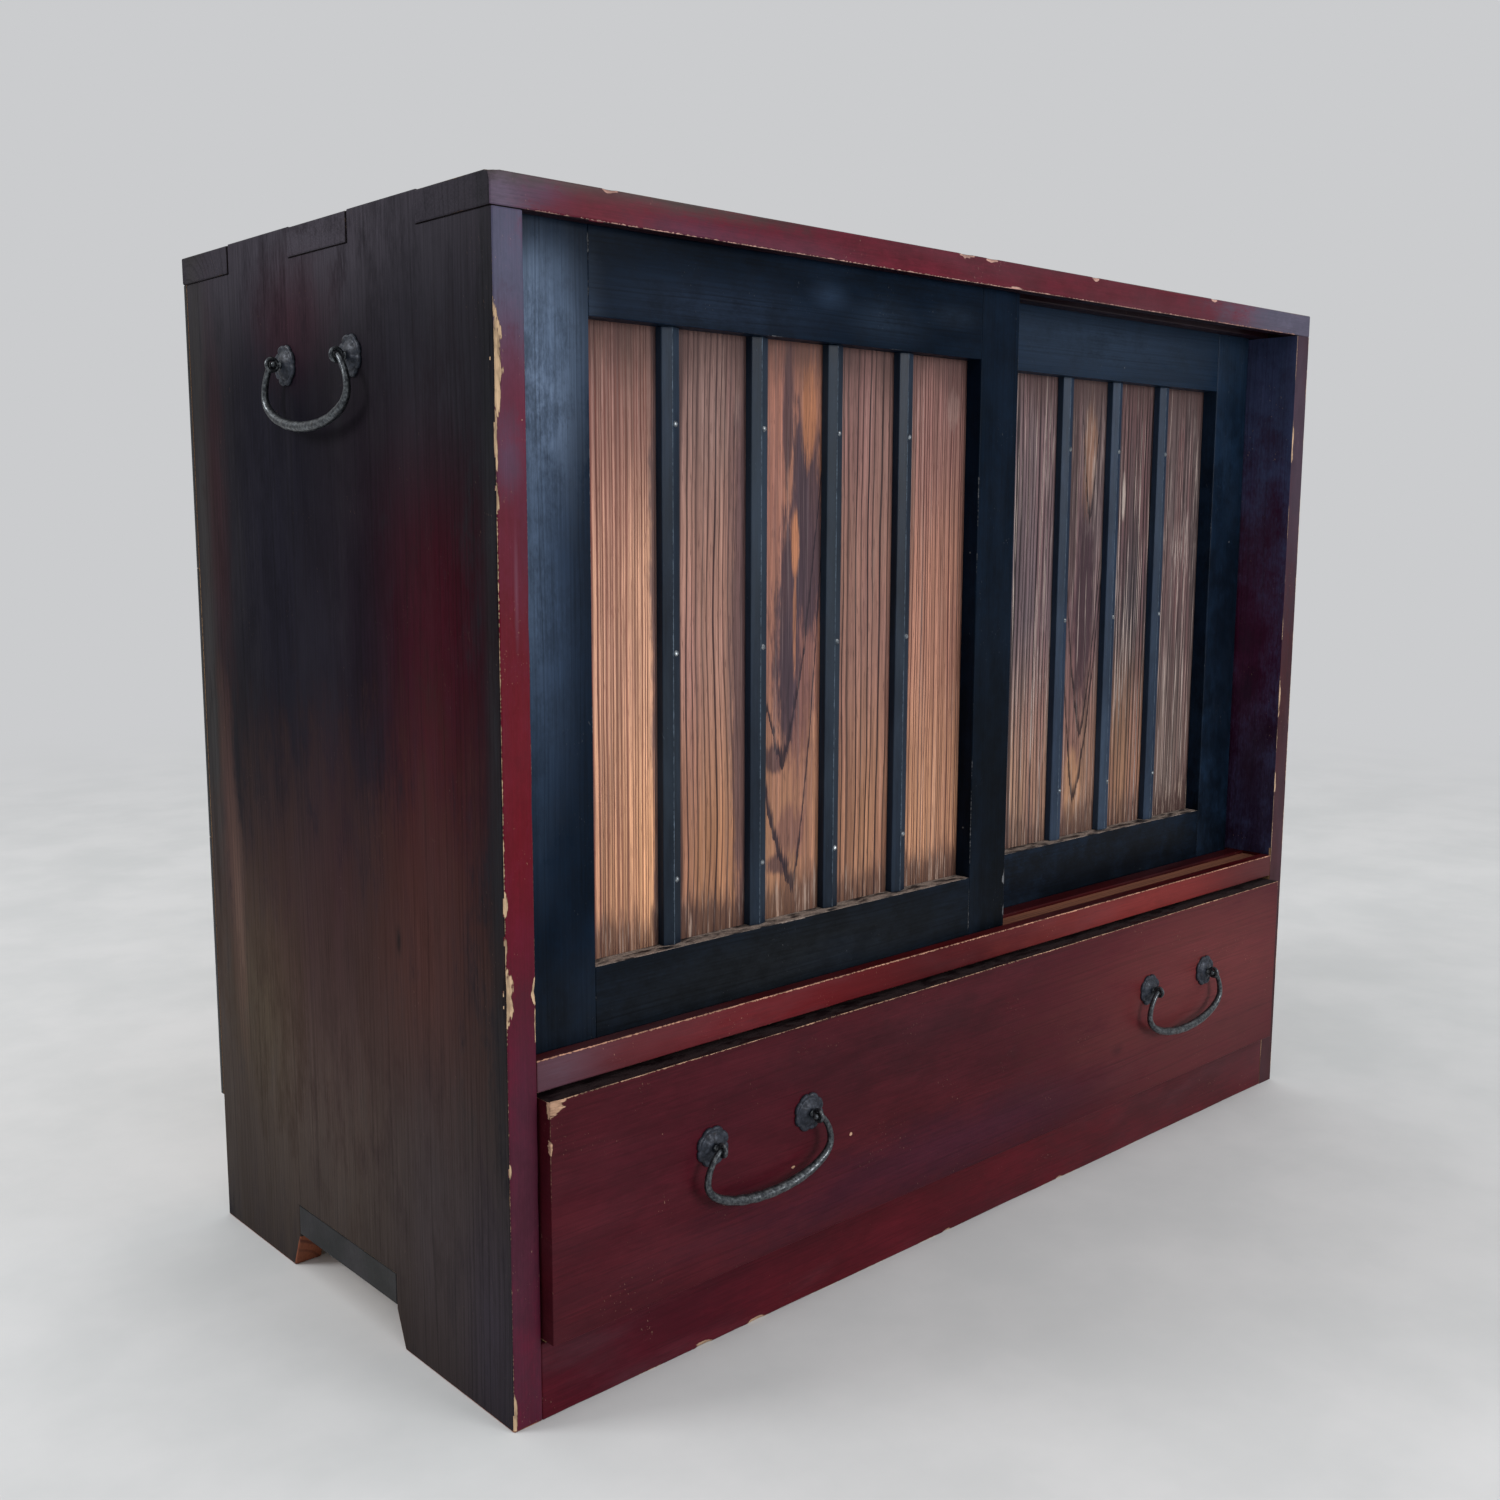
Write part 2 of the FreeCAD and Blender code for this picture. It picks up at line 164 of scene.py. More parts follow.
def rgb(red, green, blue):
    """An everyday 0-255 screen colour as the linear colour that a shader wants."""
    shares = [v / 255 for v in (red, green, blue)]
    linear = [v / 12.92 if v <= 0.04045 else ((v + 0.055) / 1.055) ** 2.4 for v in shares]
    return (*linear, 1.0)


def darker(colour, share):
    return (*(share * v for v in colour[:3]), 1.0)


print("a mid grey of 128 is", round(rgb(128, 128, 128)[0], 3), "in linear light")

# %% [markdown]
# ## Shader groups
# Effects that more than one finish needs are node groups with named inputs.
# They read values that each dressed board carries in its mesh: `grain` is the
# place in the board's own wood, with the fibres along Z, `start` shifts the
# noise so that no two boards are alike, and `middle` and `half` are the
# board's box. So one group suits every board, whichever way it is turned.

# %% Group helper
def new_group(name, inputs, outputs):
    """A shader group: its tree, the sockets that come in and those that go out."""
    tree = bpy.data.node_groups.new(name, "ShaderNodeTree")
    for label, default in inputs.items():
        kind = "NodeSocketVector" if isinstance(default, tuple) else "NodeSocketFloat"
        socket = tree.interface.new_socket(label, in_out="INPUT", socket_type=kind)
        socket.default_value = default
    for label in outputs:
        tree.interface.new_socket(label, in_out="OUTPUT", socket_type="NodeSocketFloat")
    source = tree.nodes.new("NodeGroupInput")
    sink = tree.nodes.new("NodeGroupOutput")
    return tree, source.outputs, sink.inputs


def use(tree, group, **values):
    """Place a group in a material and fill its inputs."""
    node = tree.nodes.new("ShaderNodeGroup")
    node.node_tree = group
    for label, value in values.items():
        feed(tree, value, node.inputs[label.replace("_", " ")])
    return node.outputs


origin = (0.0, 0.0, 0.0)

# %% [markdown]
# Softwood shows its growth rings as dark lines on a pale ground. A ring is a
# cylinder round the tree's pith, so the distance to a line inside the board
# gives rings as the saw cuts them: straight lines where the pith is far to
# one side, and tall flames where it runs just under the face and leans.
# Late wood darkens slowly and ends sharply, hence the lopsided profile. No
# two years are alike, so each ring also draws its own width and strength.

# %% Growth rings
rings_group, given, result = new_group(
    "growth_rings",
    {
        "Place": origin, "Start": origin, "Ring": 0.004, "Pith Side": 0.3, "Pith Depth": 0.02,
        "Lean": 0.0, "Wander": 0.004, "Late Share": 0.4, "Uneven": 1.8, "Ripple": 0.35, "Faint": 0.3,
    },
    ("Late", "Fibre", "Tone"),
)
t = rings_group
free_place = vector_calc(t, "ADD", given["Place"], given["Start"])
sway = put(t, "ShaderNodeTexNoise", {
    "Vector": vector_calc(t, "MULTIPLY", free_place, (16.0, 16.0, 3.2)),
    "Scale": 1.0, "Detail": 2.5, "Roughness": 0.45,
}, out="Color")
swayed = vector_calc(t, "SCALE", vector_calc(t, "SUBTRACT", sway, (0.5, 0.5, 0.5)))
feed(t, given["Wander"], swayed.node.inputs["Scale"])
bent = vector_calc(t, "ADD", given["Place"], swayed)
axes = put(t, "ShaderNodeSeparateXYZ", {0: bent}).node.outputs
side = minus(t, axes["X"], given["Pith Side"])
deep = plus(t, axes["Y"], plus(t, given["Pith Depth"], times(t, axes["Z"], given["Lean"])))
reach = calc(t, "SQRT", plus(t, times(t, side, side), times(t, deep, deep)))
years = calc(t, "DIVIDE", reach, given["Ring"])
uneven = put(t, "ShaderNodeTexNoise", {"W": years, "Scale": 0.4, "Detail": 1.0}, {"noise_dimensions": "1D"})
years = plus(t, years, times(t, uneven, given["Uneven"]))
years = plus(t, years, times(t, cloud(t, free_place, (120.0, 120.0, 5.0), 2.0), given["Ripple"]))
turn = calc(t, "FRACT", years)
draw = put(t, "ShaderNodeTexWhiteNoise", {"W": calc(t, "FLOOR", years)}, {"noise_dimensions": "1D"})
half_share = times(t, given["Late Share"], 0.5)
late_start = minus(t, 1.0, given["Late Share"])
late_full = minus(t, 1.0, half_share)
darkening = ease(t, turn, late_start, late_full)
ending = ease(t, turn, 1.0, 0.93)
strength = ease(t, draw, 0.0, 1.0, given["Faint"], 1.0)
feed(t, times(t, darkening, ending, strength), result["Late"])
feed(t, cloud(t, free_place, (900.0, 900.0, 16.0), 2.0, 0.6), result["Fibre"])
feed(t, draw, result["Tone"])
print("rings group nodes:", len(t.nodes))

# %% [markdown]
# Lacquer wears through first at the arrises, the long corners of a board.
# For a point on a box the three distances to its planes are easy: one is zero,
# because the point is on that plane, and the next one up is the distance to
# the nearest arris. It is the middle value of the three.

# %% Distance to the nearest arris
arris_group, given, result = new_group("arris_distance", {}, ("Distance",))
t = arris_group
here = put(t, "ShaderNodeTexCoord", {}, out="Object")
middle = put(t, "ShaderNodeAttribute", {}, {"attribute_name": "middle"}, out="Vector")
half = put(t, "ShaderNodeAttribute", {}, {"attribute_name": "half"}, out="Vector")
offset = vector_calc(t, "ABSOLUTE", vector_calc(t, "SUBTRACT", here, middle))
planes = put(t, "ShaderNodeSeparateXYZ", {0: vector_calc(t, "SUBTRACT", half, offset)}).node.outputs
low = calc(t, "MINIMUM", planes["X"], planes["Y"])
high = calc(t, "MAXIMUM", planes["X"], planes["Y"])
feed(t, calc(t, "MAXIMUM", low, calc(t, "MINIMUM", high, planes["Z"])), result["Distance"])
print("arris group nodes:", len(t.nodes))

# %% [markdown]
# The worn band along an arris isn't even: some lengths are untouched, others
# are rubbed wide, and its outline is ragged. A slow noise sets how wide the
# band is, a fast noise frays it, and the distance is compared with both.
# A patch is a mark at a known place: an ellipsoid whose outline is shifted by
# a ragged value that the finish works out once. With a hard edge it is a
# chip, and with a wide soft edge it is a stain or a haze.

# %% Worn band and patch
band_group, given, result = new_group(
    "worn_band",
    {"Place": origin, "Distance": 1.0, "Width": 0.001, "Run": 0.5},
    ("Bare",),
)
t = band_group
slow = cloud(t, given["Place"], (28.0, 28.0, 28.0), 2.0)
fray = cloud(t, given["Place"], (420.0, 420.0, 420.0), 3.0, 0.6)
start = minus(t, 0.72, times(t, given["Run"], 0.5))
swell = ease(t, slow, start, plus(t, start, 0.16))
ragged = times(t, swell, ease(t, fray, 0.25, 0.75, 0.4, 1.5))
width = times(t, given["Width"], ragged)
feed(t, ease(t, minus(t, width, given["Distance"]), 0.0, 0.0003), result["Bare"])

patch_group, given, result = new_group(
    "patch",
    {
        "Place": origin, "Centre": origin, "Size": (0.01, 0.01, 0.01),
        "Ragged": 0.5, "Fray": 1.0, "Soft": 0.06,
    },
    ("Mask",),
)
t = patch_group
away = vector_calc(t, "SUBTRACT", given["Place"], given["Centre"])
away = vector_calc(t, "DIVIDE", away, given["Size"])
length = vector_calc(t, "LENGTH", away, out="Value")
shift = times(t, minus(t, given["Ragged"], 0.5), times(t, given["Fray"], 2.0))
outer = plus(t, 1.0, given["Soft"])
inner = minus(t, 1.0, given["Soft"])
feed(t, ease(t, plus(t, length, shift), outer, inner), result["Mask"])
print("band nodes:", len(band_group.nodes), "patch nodes:", len(patch_group.nodes))

# %% [markdown]
# Where the saw passed close to the pith, a ring comes to a point, like the
# tip of a flame. Such a vein is drawn by its tip and by how steeply each arm
# climbs, and the arms steepen as they leave the tip. Like any ring it darkens
# slowly from above and ends sharply below.

# %% Vein
vein_group, given, result = new_group(
    "vein",
    {"Place": origin, "Tip": origin, "Left": 1.0, "Right": 2.0, "Width": 0.01, "Ragged": 0.5},
    ("Mask",),
)
t = vein_group
slope_at_tip, slope_gain, sharpness = 0.6, 40.0, 0.0006
from_tip = vector_calc(t, "SUBTRACT", given["Place"], given["Tip"])
axes = put(t, "ShaderNodeSeparateXYZ", {0: from_tip}).node.outputs
steeper = plus(t, times(t, calc(t, "ABSOLUTE", axes["X"]), slope_gain), slope_at_tip)
right_arm = times(t, calc(t, "MAXIMUM", axes["X"], 0.0), given["Right"], steeper)
left_arm = times(t, calc(t, "MINIMUM", axes["X"], 0.0), given["Left"], steeper)
wobble = times(t, minus(t, given["Ragged"], 0.5), 0.08)
arms = minus(t, right_arm, left_arm)
above = plus(t, minus(t, axes["Z"], arms), wobble)
lower_edge = ease(t, above, -sharpness, sharpness)
upper_edge = ease(t, above, given["Width"], times(t, given["Width"], 0.35))
feed(t, times(t, lower_edge, upper_edge), result["Mask"])
print("vein nodes:", len(t.nodes))

# %% [markdown]
# Old lacquer also carries small marks all over: pin-prick specks where the
# film has popped, hairline scratches that run one way, and a bloom of dust
# and handling. The specks are the middles of a few Voronoi cells, picked by
# the random colour that each cell gets. The scratches are a noise stretched
# to needles, cut off high, and broken up by a second noise. The brush value
# is broad and fine noise together, drawn out along the grain: it frays
# stains the way that a worn brush or a polishing rag does, and `Drawn` says
# how short its marks are: the side boards have long ones, the door frames
# have small, almost round ones.

# %% Small marks
marks_group, given, result = new_group(
    "small_marks",
    {"Place": origin, "Wood": origin, "Drawn": 14.0},
    ("Specks", "Scratches", "Bloom", "Brush"),
)
t = marks_group
cells = put(t, "ShaderNodeTexVoronoi", {"Vector": given["Place"], "Scale": 70.0, "Randomness": 1.0})
picked = put(t, "ShaderNodeSeparateColor", {0: cells.node.outputs["Color"]}).node.outputs
chosen = calc(t, "GREATER_THAN", picked["Red"], 0.94)
size = times(t, picked["Green"], 0.085)
speck = ease(t, cells, size, times(t, size, 0.6))
feed(t, times(t, speck, chosen), result["Specks"])
slanted = put(t, "ShaderNodeMapping", {"Vector": given["Place"], "Rotation": (0.35, 0.25, 0.3)})
needles = cloud(t, slanted, (1100.0, 1100.0, 34.0), 2.0, 0.5)
breaks = cloud(t, given["Place"], (22.0, 22.0, 22.0), 2.0)
feed(t, times(t, ease(t, needles, 0.70, 0.75), ease(t, breaks, 0.54, 0.66)), result["Scratches"])
feed(t, ease(t, cloud(t, given["Wood"], (14.0, 14.0, 3.5), 5.0, 0.62), 0.42, 0.72), result["Bloom"])
broad_stretch = put(t, "ShaderNodeCombineXYZ", {0: 42.0, 1: 42.0, 2: given["Drawn"]})
fine_stretch = put(t, "ShaderNodeCombineXYZ", {0: 620.0, 1: 620.0, 2: times(t, given["Drawn"], 6.0)})
broad = cloud(t, given["Wood"], broad_stretch, 6.0, 0.66)
fine = cloud(t, given["Wood"], fine_stretch, 3.0, 0.6)
feed(t, plus(t, times(t, broad, 0.7), times(t, fine, 0.3)), result["Brush"])
print("marks group nodes:", len(t.nodes))

# %% [markdown]
# ## Finishing a material
# Every finish ends the same way: a Principled BSDF with a colour, a
# roughness and a height that a Bump node turns into a normal. The gloss level
# is the same all over a finish, so it is set on the shader's own socket.

# %% New material
def new_finish(name):
    """An empty material: its tree and its shader node."""
    finish = bpy.data.materials.new(name)
    finish.use_nodes = True
    tree = finish.node_tree
    return finish, tree, tree.nodes["Principled BSDF"]


def close_finish(tree, shader, colour, roughness, height, depth, gloss=0.5):
    """Feed the shader. depth is how tall, in metres, a height of 1 is."""
    feed(tree, colour, shader.inputs["Base Color"])
    feed(tree, roughness, shader.inputs["Roughness"])
    bump = put(tree, "ShaderNodeBump", {"Height": height, "Distance": depth, "Strength": 1.0})
    feed(tree, bump, shader.inputs["Normal"])
    shader.inputs["Specular IOR Level"].default_value = gloss


def carried(tree, label):
    """A vector that the mesh carries."""
    return put(tree, "ShaderNodeAttribute", {}, {"attribute_name": label}, out="Vector")


def object_place(tree):
    return put(tree, "ShaderNodeTexCoord", {}, out="Object")


# %% [markdown]
# ## The lacquer
# The chest is finished with a thin dark lacquer over softwood. It is deep
# red on the edges that face the front and almost black on the sides and the
# door frames. One function makes every version. `shades` runs from the
# lacquer's deep colour to its bright one, `stains` are soft patches of
# another colour at known places, `chips` are places where the film and some
# wood are gone, `band` is how wide the arrises are worn, and `rub` scales
# that width by place, because a hand or a floor only reaches some of them.
# A piece with a ridge down its face gets a pale line along the middle: a
# painted highlight on the ridge, drawn as rubbed lacquer. `drawn` says how
# short the marks of the brush are, and `fray` how far they pull the outline of
# a stain.

# %% Lacquer
bare_wood = rgb(206, 172, 136)
dusty_bloom = (rgb(120, 112, 122), 0.1)
stain_softness, chip_fray = 0.9, 0.75


def lacquer(
    name, shades, patchy=0.5, stains=(), chips=(), band=0.0012, run=0.5, rub=(), bloom=dusty_bloom,
    roughness=0.38, gloss=0.08, bare=bare_wood, streaks=0.1, specks=1.0, scratches=0.5, drawn=14.0,
    ridge_highlight=False, fray=1.7,
):
    finish, tree, shader = new_finish(name)
    grain, start = carried(tree, "grain"), carried(tree, "start")
    wood = vector_calc(tree, "ADD", grain, start)
    place = object_place(tree)
    rings = use(tree, rings_group, Place=grain, Start=start, Ring=0.0052, Pith_Side=0.21, Wander=0.016)
    marks = use(tree, marks_group, Place=place, Wood=wood, Drawn=drawn)
    patch = cloud(tree, wood, (13.0, 13.0, 2.4), 4.0, 0.6)
    share = ease(tree, patch, 0.5 - 0.32 * patchy, 0.5 + 0.32 * patchy)
    colour = tint(tree, share, shades[0], shades[1])
    for shade, centre, reach, strength in stains:
        mask = use(
            tree, patch_group, Place=place, Centre=centre, Size=reach, Ragged=marks["Brush"], Fray=fray,
            Soft=stain_softness,
        )["Mask"]
        colour = tint(tree, times(tree, mask, strength), colour, shade)
    fibre = ease(tree, rings["Fibre"], 0.3, 0.7, 1.0 - 0.6 * streaks, 1.0 + 0.6 * streaks)
    dark = minus(tree, 1.0, times(tree, rings["Late"], streaks * 1.2))
    brushed = ease(tree, marks["Brush"], 0.35, 0.65, 1.0 - 1.3 * streaks, 1.0 + 1.3 * streaks)
    colour = shade_by(tree, colour, times(tree, fibre, dark, brushed))
    colour = tint(tree, times(tree, marks["Bloom"], bloom[1]), colour, bloom[0])
    colour = tint(tree, times(tree, marks["Scratches"], scratches), colour, bare)
    colour = tint(tree, times(tree, marks["Specks"], specks), colour, bare)
    width = band
    axes = put(tree, "ShaderNodeSeparateXYZ", {0: place}).node.outputs
    for axis, low, high, before, after in rub:
        width = times(tree, width, ease(tree, axes[axis], low, high, before, after))
    distance = use(tree, arris_group)["Distance"]
    # A painted highlight along the ridge: a pale worn band down the middle of the face.
    if ridge_highlight:
        off_middle = vector_calc(tree, "SUBTRACT", place, carried(tree, "middle"))
        off_middle = vector_calc(tree, "ABSOLUTE", off_middle)
        sideways = put(tree, "ShaderNodeSeparateXYZ", {0: off_middle}).node.outputs["X"]
        distance = calc(tree, "MINIMUM", distance, sideways)
    worn = use(tree, band_group, Place=place, Distance=distance, Width=width, Run=run)["Bare"]
    crumbled = cloud(tree, wood, (330.0, 330.0, 90.0), 3.0, 0.55)
    for centre, reach, _ in chips:
        mask = use(
            tree, patch_group, Place=place, Centre=centre, Size=reach, Ragged=crumbled, Fray=chip_fray,
        )["Mask"]
        worn = calc(tree, "MAXIMUM", worn, mask)
    pale = tint(tree, ease(tree, rings["Fibre"], 0.35, 0.75), bare, darker(bare, 0.7))
    pale = tint(tree, ease(tree, crumbled, 0.40, 0.62, 0.0, 0.9), pale, darker(bare, 0.5))
    colour = tint(tree, worn, colour, pale)
    rough = plus(tree, roughness, times(tree, marks["Bloom"], 0.12))
    rough = plus(tree, rough, times(tree, worn, 0.4))
    skin = plus(tree, times(tree, rings["Fibre"], 0.1), times(tree, patch, 0.5))
    skin = minus(tree, skin, times(tree, worn, 0.9))
    skin = minus(tree, skin, times(tree, marks["Scratches"], 0.12))
    close_finish(tree, shader, colour, rough, skin, 0.0005, gloss)
    return finish


# %% [markdown]
# ## Copying and softening a board
# A packed board has knife-sharp arrises. A real one was eased with a plane and
# then knocked for decades, so each board is copied, its loose triangles are
# merged, flat neighbours are dissolved into single faces, and the long convex
# edges are bevelled. Cuts across the length then let the arris wander by a
# few tenths of a millimetre. A chip gets its own close cuts, and the surface
# inside it sinks into the wood.

# %% Board helpers
shortest_arris = 1.5 * MM
cut_margin = 1.5 * MM
chip_cuts = (-1.0, -0.8, -0.5, 0.0, 0.5, 0.8, 1.0)
on_plane, soft_zone = 0.05 * MM, 1.6 * MM
knocks_per_metre, crumbs_per_metre = 38.0, 240.0


def merged_copy(node):
    """A node's mesh as clean faces instead of loose triangles."""
    bm = bmesh.new()
    bm.from_mesh(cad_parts[node].data)
    bmesh.ops.remove_doubles(bm, verts=bm.verts, dist=0.02 * MM)
    bmesh.ops.dissolve_limit(bm, angle_limit=math.radians(1), verts=bm.verts, edges=bm.edges)
    return bm


def long_arrises(bm):
    """Convex edges of about a right angle that are long enough to soften."""
    return [
        e for e in bm.edges
        if len(e.link_faces) == 2 and e.is_convex
        and e.calc_length() > shortest_arris and e.calc_face_angle() > math.radians(40)
    ]


def cut_planes(bm, axis, places):
    """Cut the mesh by planes across one axis."""
    normal = Vector((0, 0, 0))
    normal[axis] = 1
    for place in sorted(places):
        everything = bm.verts[:] + bm.edges[:] + bm.faces[:]
        bmesh.ops.bisect_plane(bm, geom=everything, dist=1e-6, plane_co=normal * place, plane_no=normal)


def cut_board(bm, box, along, step, chips):
    """Cuts across the board at every step, and close ones around each chip."""
    low, high = box
    places = [set(), set(), set()]
    count = int((high[along] - low[along]) / step)
    for index in range(1, count):
        places[along].add(round(low[along] + index * step, 3))
    for centre, reach, _ in chips:
        for axis in range(3):
            for share in chip_cuts:
                places[axis].add(round(centre[axis] + share * reach[axis], 3))
    for axis in range(3):
        inside = [p for p in places[axis] if low[axis] + cut_margin < p < high[axis] - cut_margin]
        cut_planes(bm, axis, inside)


def knock_arrises(bm, box, depth, seed):
    """Push the vertices of the softened arrises inwards by an uneven amount.

    A vertex only moves along the axes whose plane it isn't on, so that the
    large faces stay flat.
    """
    low, high = box
    for v in bm.verts:
        gaps = [min(v.co[i] - low[i], high[i] - v.co[i]) for i in range(3)]
        if sorted(gaps)[1] > soft_zone:
            continue
        knock = noise.noise(v.co * knocks_per_metre + Vector((seed, 0, 0)))
        inward = [0.0, 0.0, 0.0]
        for i in range(3):
            if on_plane < gaps[i] < soft_zone:
                inward[i] = (1 if v.co[i] - low[i] < high[i] - v.co[i] else -1) * depth * max(knock, 0)
        v.co += Vector(inward)


def sink_chips(bm, box, chips):
    """Let the surface inside each chip sink towards the heart of the board."""
    low, high = box
    for centre, reach, depth in chips:
        gaps = [min(centre[i] - low[i], high[i] - centre[i]) for i in range(3)]
        nearest = sorted(range(3), key=lambda i: gaps[i])[:2]
        inward = Vector((0, 0, 0))
        for i in nearest:
            inward[i] = 1 if centre[i] - low[i] < high[i] - centre[i] else -1
        for v in bm.verts:
            away = Vector([(v.co[i] - centre[i]) / reach[i] for i in range(3)]).length
            if away < 1.0:
                rough = 0.75 + 0.5 * noise.noise(v.co * crumbs_per_metre)
                v.co += inward * depth * rough * (1 - away ** 2) * 0.7


# %% [markdown]
# The mesh then carries its own data: four vectors on every vertex. Only the
# noise of each board starts at its own random spot, so that no two boards
# share a pattern, while the rings keep their true place. Last, every face gets
# the coat of the first rule that it meets, so a board can be red at the front
# and black at the side.

# %% Carry data, coat and place a piece
def carry_wood(mesh, box, along, seed):
    """Write the wood coordinates and the board's box onto the vertices."""
    across = [i for i in range(3) if i != along]
    low, high = box
    middle = (low + high) / 2
    thin, wide = sorted(across, key=lambda i: high[i] - low[i])
    start = (seed * 0.37 % 1.0 * 3.0, seed * 0.11 % 1.0, seed * 0.73 % 1.0 * 3.0)
    data = {"grain": [], "start": [], "middle": [], "half": []}
    for v in mesh.vertices:
        local = v.co - middle
        data["grain"] += [local[wide], local[thin], local[along]]
        data["start"] += start
        data["middle"] += list(middle)
        data["half"] += list((high - low) / 2)
    for label, values in data.items():
        mesh.attributes.new(label, "FLOAT_VECTOR", "POINT").data.foreach_set("vector", values)


def finish_piece(name, bm, body, coats, node, smooth=False):
    """Make an object of a bmesh, coat its faces, and let it ride and stand for its node.

    coats is a list of (rule, material); a rule takes a face and says yes or no.
    """
    bmesh.ops.recalc_face_normals(bm, faces=bm.faces)
    for face in bm.faces:
        face.material_index = next(i for i, (rule, _) in enumerate(coats) if rule(face))
        face.smooth = smooth
    mesh = bpy.data.meshes.new(name)
    bm.to_mesh(mesh)
    bm.free()
    for _, material in coats:
        mesh.materials.append(material)
    piece = bpy.data.objects.new(name, mesh)
    bpy.context.scene.collection.objects.link(piece)
    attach(piece, body)
    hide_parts(node)
    return piece


def anywhere(face):
    return True


def facing(axis, sign, low=-9.0, high=9.0, along=None):
    """A rule for faces that look along an axis, within a span of another one."""
    def rule(face):
        if face.normal[axis] * sign < 0.6:
            return False
        return along is None or low < face.calc_center_median()[along] < high
    return rule


board_count = 0


def board(node, body, coats, along, box=None, arris=0.9, step=20.0, knock=0.5, chips=()):
    """Dress one packed board: copy, soften, cut, chip, carry its wood, coat, replace."""
    global board_count
    board_count += 1
    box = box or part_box(node)
    bm = merged_copy(node)
    bmesh.ops.bevel(
        bm, geom=long_arrises(bm), offset=arris * MM, offset_type="OFFSET", segments=2, profile=0.5,
        affect="EDGES", material=-1, clamp_overlap=True,
    )
    cut_board(bm, box, along, step * MM, chips)
    knock_arrises(bm, box, knock * MM, board_count)
    sink_chips(bm, box, chips)
    piece = finish_piece(node + "_dressed", bm, body, coats, node)
    carry_wood(piece.data, box, along, board_count)
    return piece


print("board helpers ready")

# %% [markdown]
# ## The side boards
# Each side is one wide board, almost black, with a wine-red glow where the
# lacquer is thin and a browner, duller foot. The narrow edge that faces the
# front is red, with a grey-violet bloom near the top that is partly a painted
# reflection, and its outer arris has the deepest chips of all, because it is
# the corner that gets bumped.
#
# A stain or a mark is a row: its shade, its place and its reach on the face,
# and how strong it is. Two numbers give a place, because every row of a table
# lies on the same plane, and `marks_on` adds that plane to each row. The
# planes themselves come from the imported side board. `near` says how close to a
# plane a face lies to belong to it, and `edge_depth` how far back the red of
# the front edges runs. Wear follows the arrises of a board's box, so a side
# gets a box that reaches up to `above_top`, because its real upper end lies in
# the joint with the top.

# %% Marks on a face
def marks_on(axis, plane, deep, rows):
    """Marks on a plane across an axis: shade, place, reach and strength."""
    marks = []
    for shade, place, reach, strength in rows:
        centre, size = list(place), list(reach)
        centre.insert(axis, plane)
        size.insert(axis, deep)
        marks.append((rgb(*shade), centre, size, strength))
    return marks


# %% Coats of the sides
side_low, side_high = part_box("left_side")
front_y, side_x, inner_x = (round(v, 4) for v in (side_low.y, -side_low.x, -side_high.x))
near, edge_depth = 2 * MM, 6 * MM
# The grey-violet near the post's top is partly bloom and partly a painted reflection.
violet_bloom_and_reflection = (74, 76, 98)

side_stains = marks_on(0, -side_x, 0.05, (
    ((68, 64, 72), (0.0, 0.80), (0.26, 0.060), 0.75),
    ((24, 24, 36), (0.09, 0.60), (0.06, 0.14), 0.6),
    ((27, 3, 17), (-0.10, 0.51), (0.09, 0.15), 0.75),
    ((54, 3, 17), (-0.145, 0.505), (0.052, 0.12), 0.85),
    ((34, 33, 40), (-0.15, 0.715), (0.08, 0.075), 0.75),
    ((48, 18, 28), (0.04, 0.745), (0.05, 0.035), 0.6),
    ((20, 18, 29), (0.02, 0.50), (0.09, 0.16), 0.7),
    ((53, 51, 51), (0.205, 0.4), (0.016, 0.5), 0.8),
    ((58, 34, 38), (0.178, 0.60), (0.016, 0.12), 0.5),
    ((70, 60, 54), (0.05, 0.15), (0.24, 0.17), 0.88),
    ((72, 66, 50), (0.13, 0.22), (0.05, 0.07), 0.6),
    ((62, 26, 26), (0.02, 0.28), (0.16, 0.12), 0.4),
    ((80, 44, 38), (-0.13, 0.33), (0.055, 0.11), 0.45),
    ((56, 26, 30), (0.00, 0.36), (0.03, 0.08), 0.25),
    ((90, 66, 61), (0.179, 0.37), (0.012, 0.08), 0.5),
    ((98, 76, 68), (0.170, 0.27), (0.010, 0.08), 0.55),
    ((32, 33, 36), (-0.217, 0.50), (0.007, 0.4), 0.65),
    ((56, 48, 50), (-0.14, 0.11), (0.07, 0.10), 0.7),
    ((48, 44, 54), (-0.20, 0.06), (0.03, 0.08), 0.6),
    ((26, 21, 22), (-0.09, 0.31), (0.003, 0.009), 0.8),
))
right_side_stains = [
    (shade, (-x, 0.9 * y, z - 0.02), reach, 0.8 * strength)
    for shade, (x, y, z), reach, strength in side_stains
]
side_coat, right_side_coat = (
    lacquer(
        name, (rgb(14, 12, 19), rgb(27, 25, 29)), 0.9, stains, band=0.0008, run=0.35,
        bloom=(rgb(72, 70, 76), 0.10), roughness=0.48, gloss=0.02, bare=rgb(112, 88, 72), streaks=0.22,
        scratches=0.35,
    )
    for name, stains in (("side_lacquer", side_stains), ("right_side_lacquer", right_side_stains))
)
post_chips = [
    ((-side_x, front_y, z), (wide, wide * 0.8, tall), deep * MM)
    for z, wide, tall, deep in (
        (0.698, 0.0058, 0.030, 2.2), (0.650, 0.0018, 0.022, 0.5), (0.616, 0.0026, 0.009, 0.7),
        (0.361, 0.0028, 0.008, 0.8), (0.334, 0.0020, 0.008, 0.4), (0.299, 0.0050, 0.018, 1.9),
        (0.182, 0.0018, 0.006, 0.4), (0.012, 0.0028, 0.016, 1.0),
    )
]
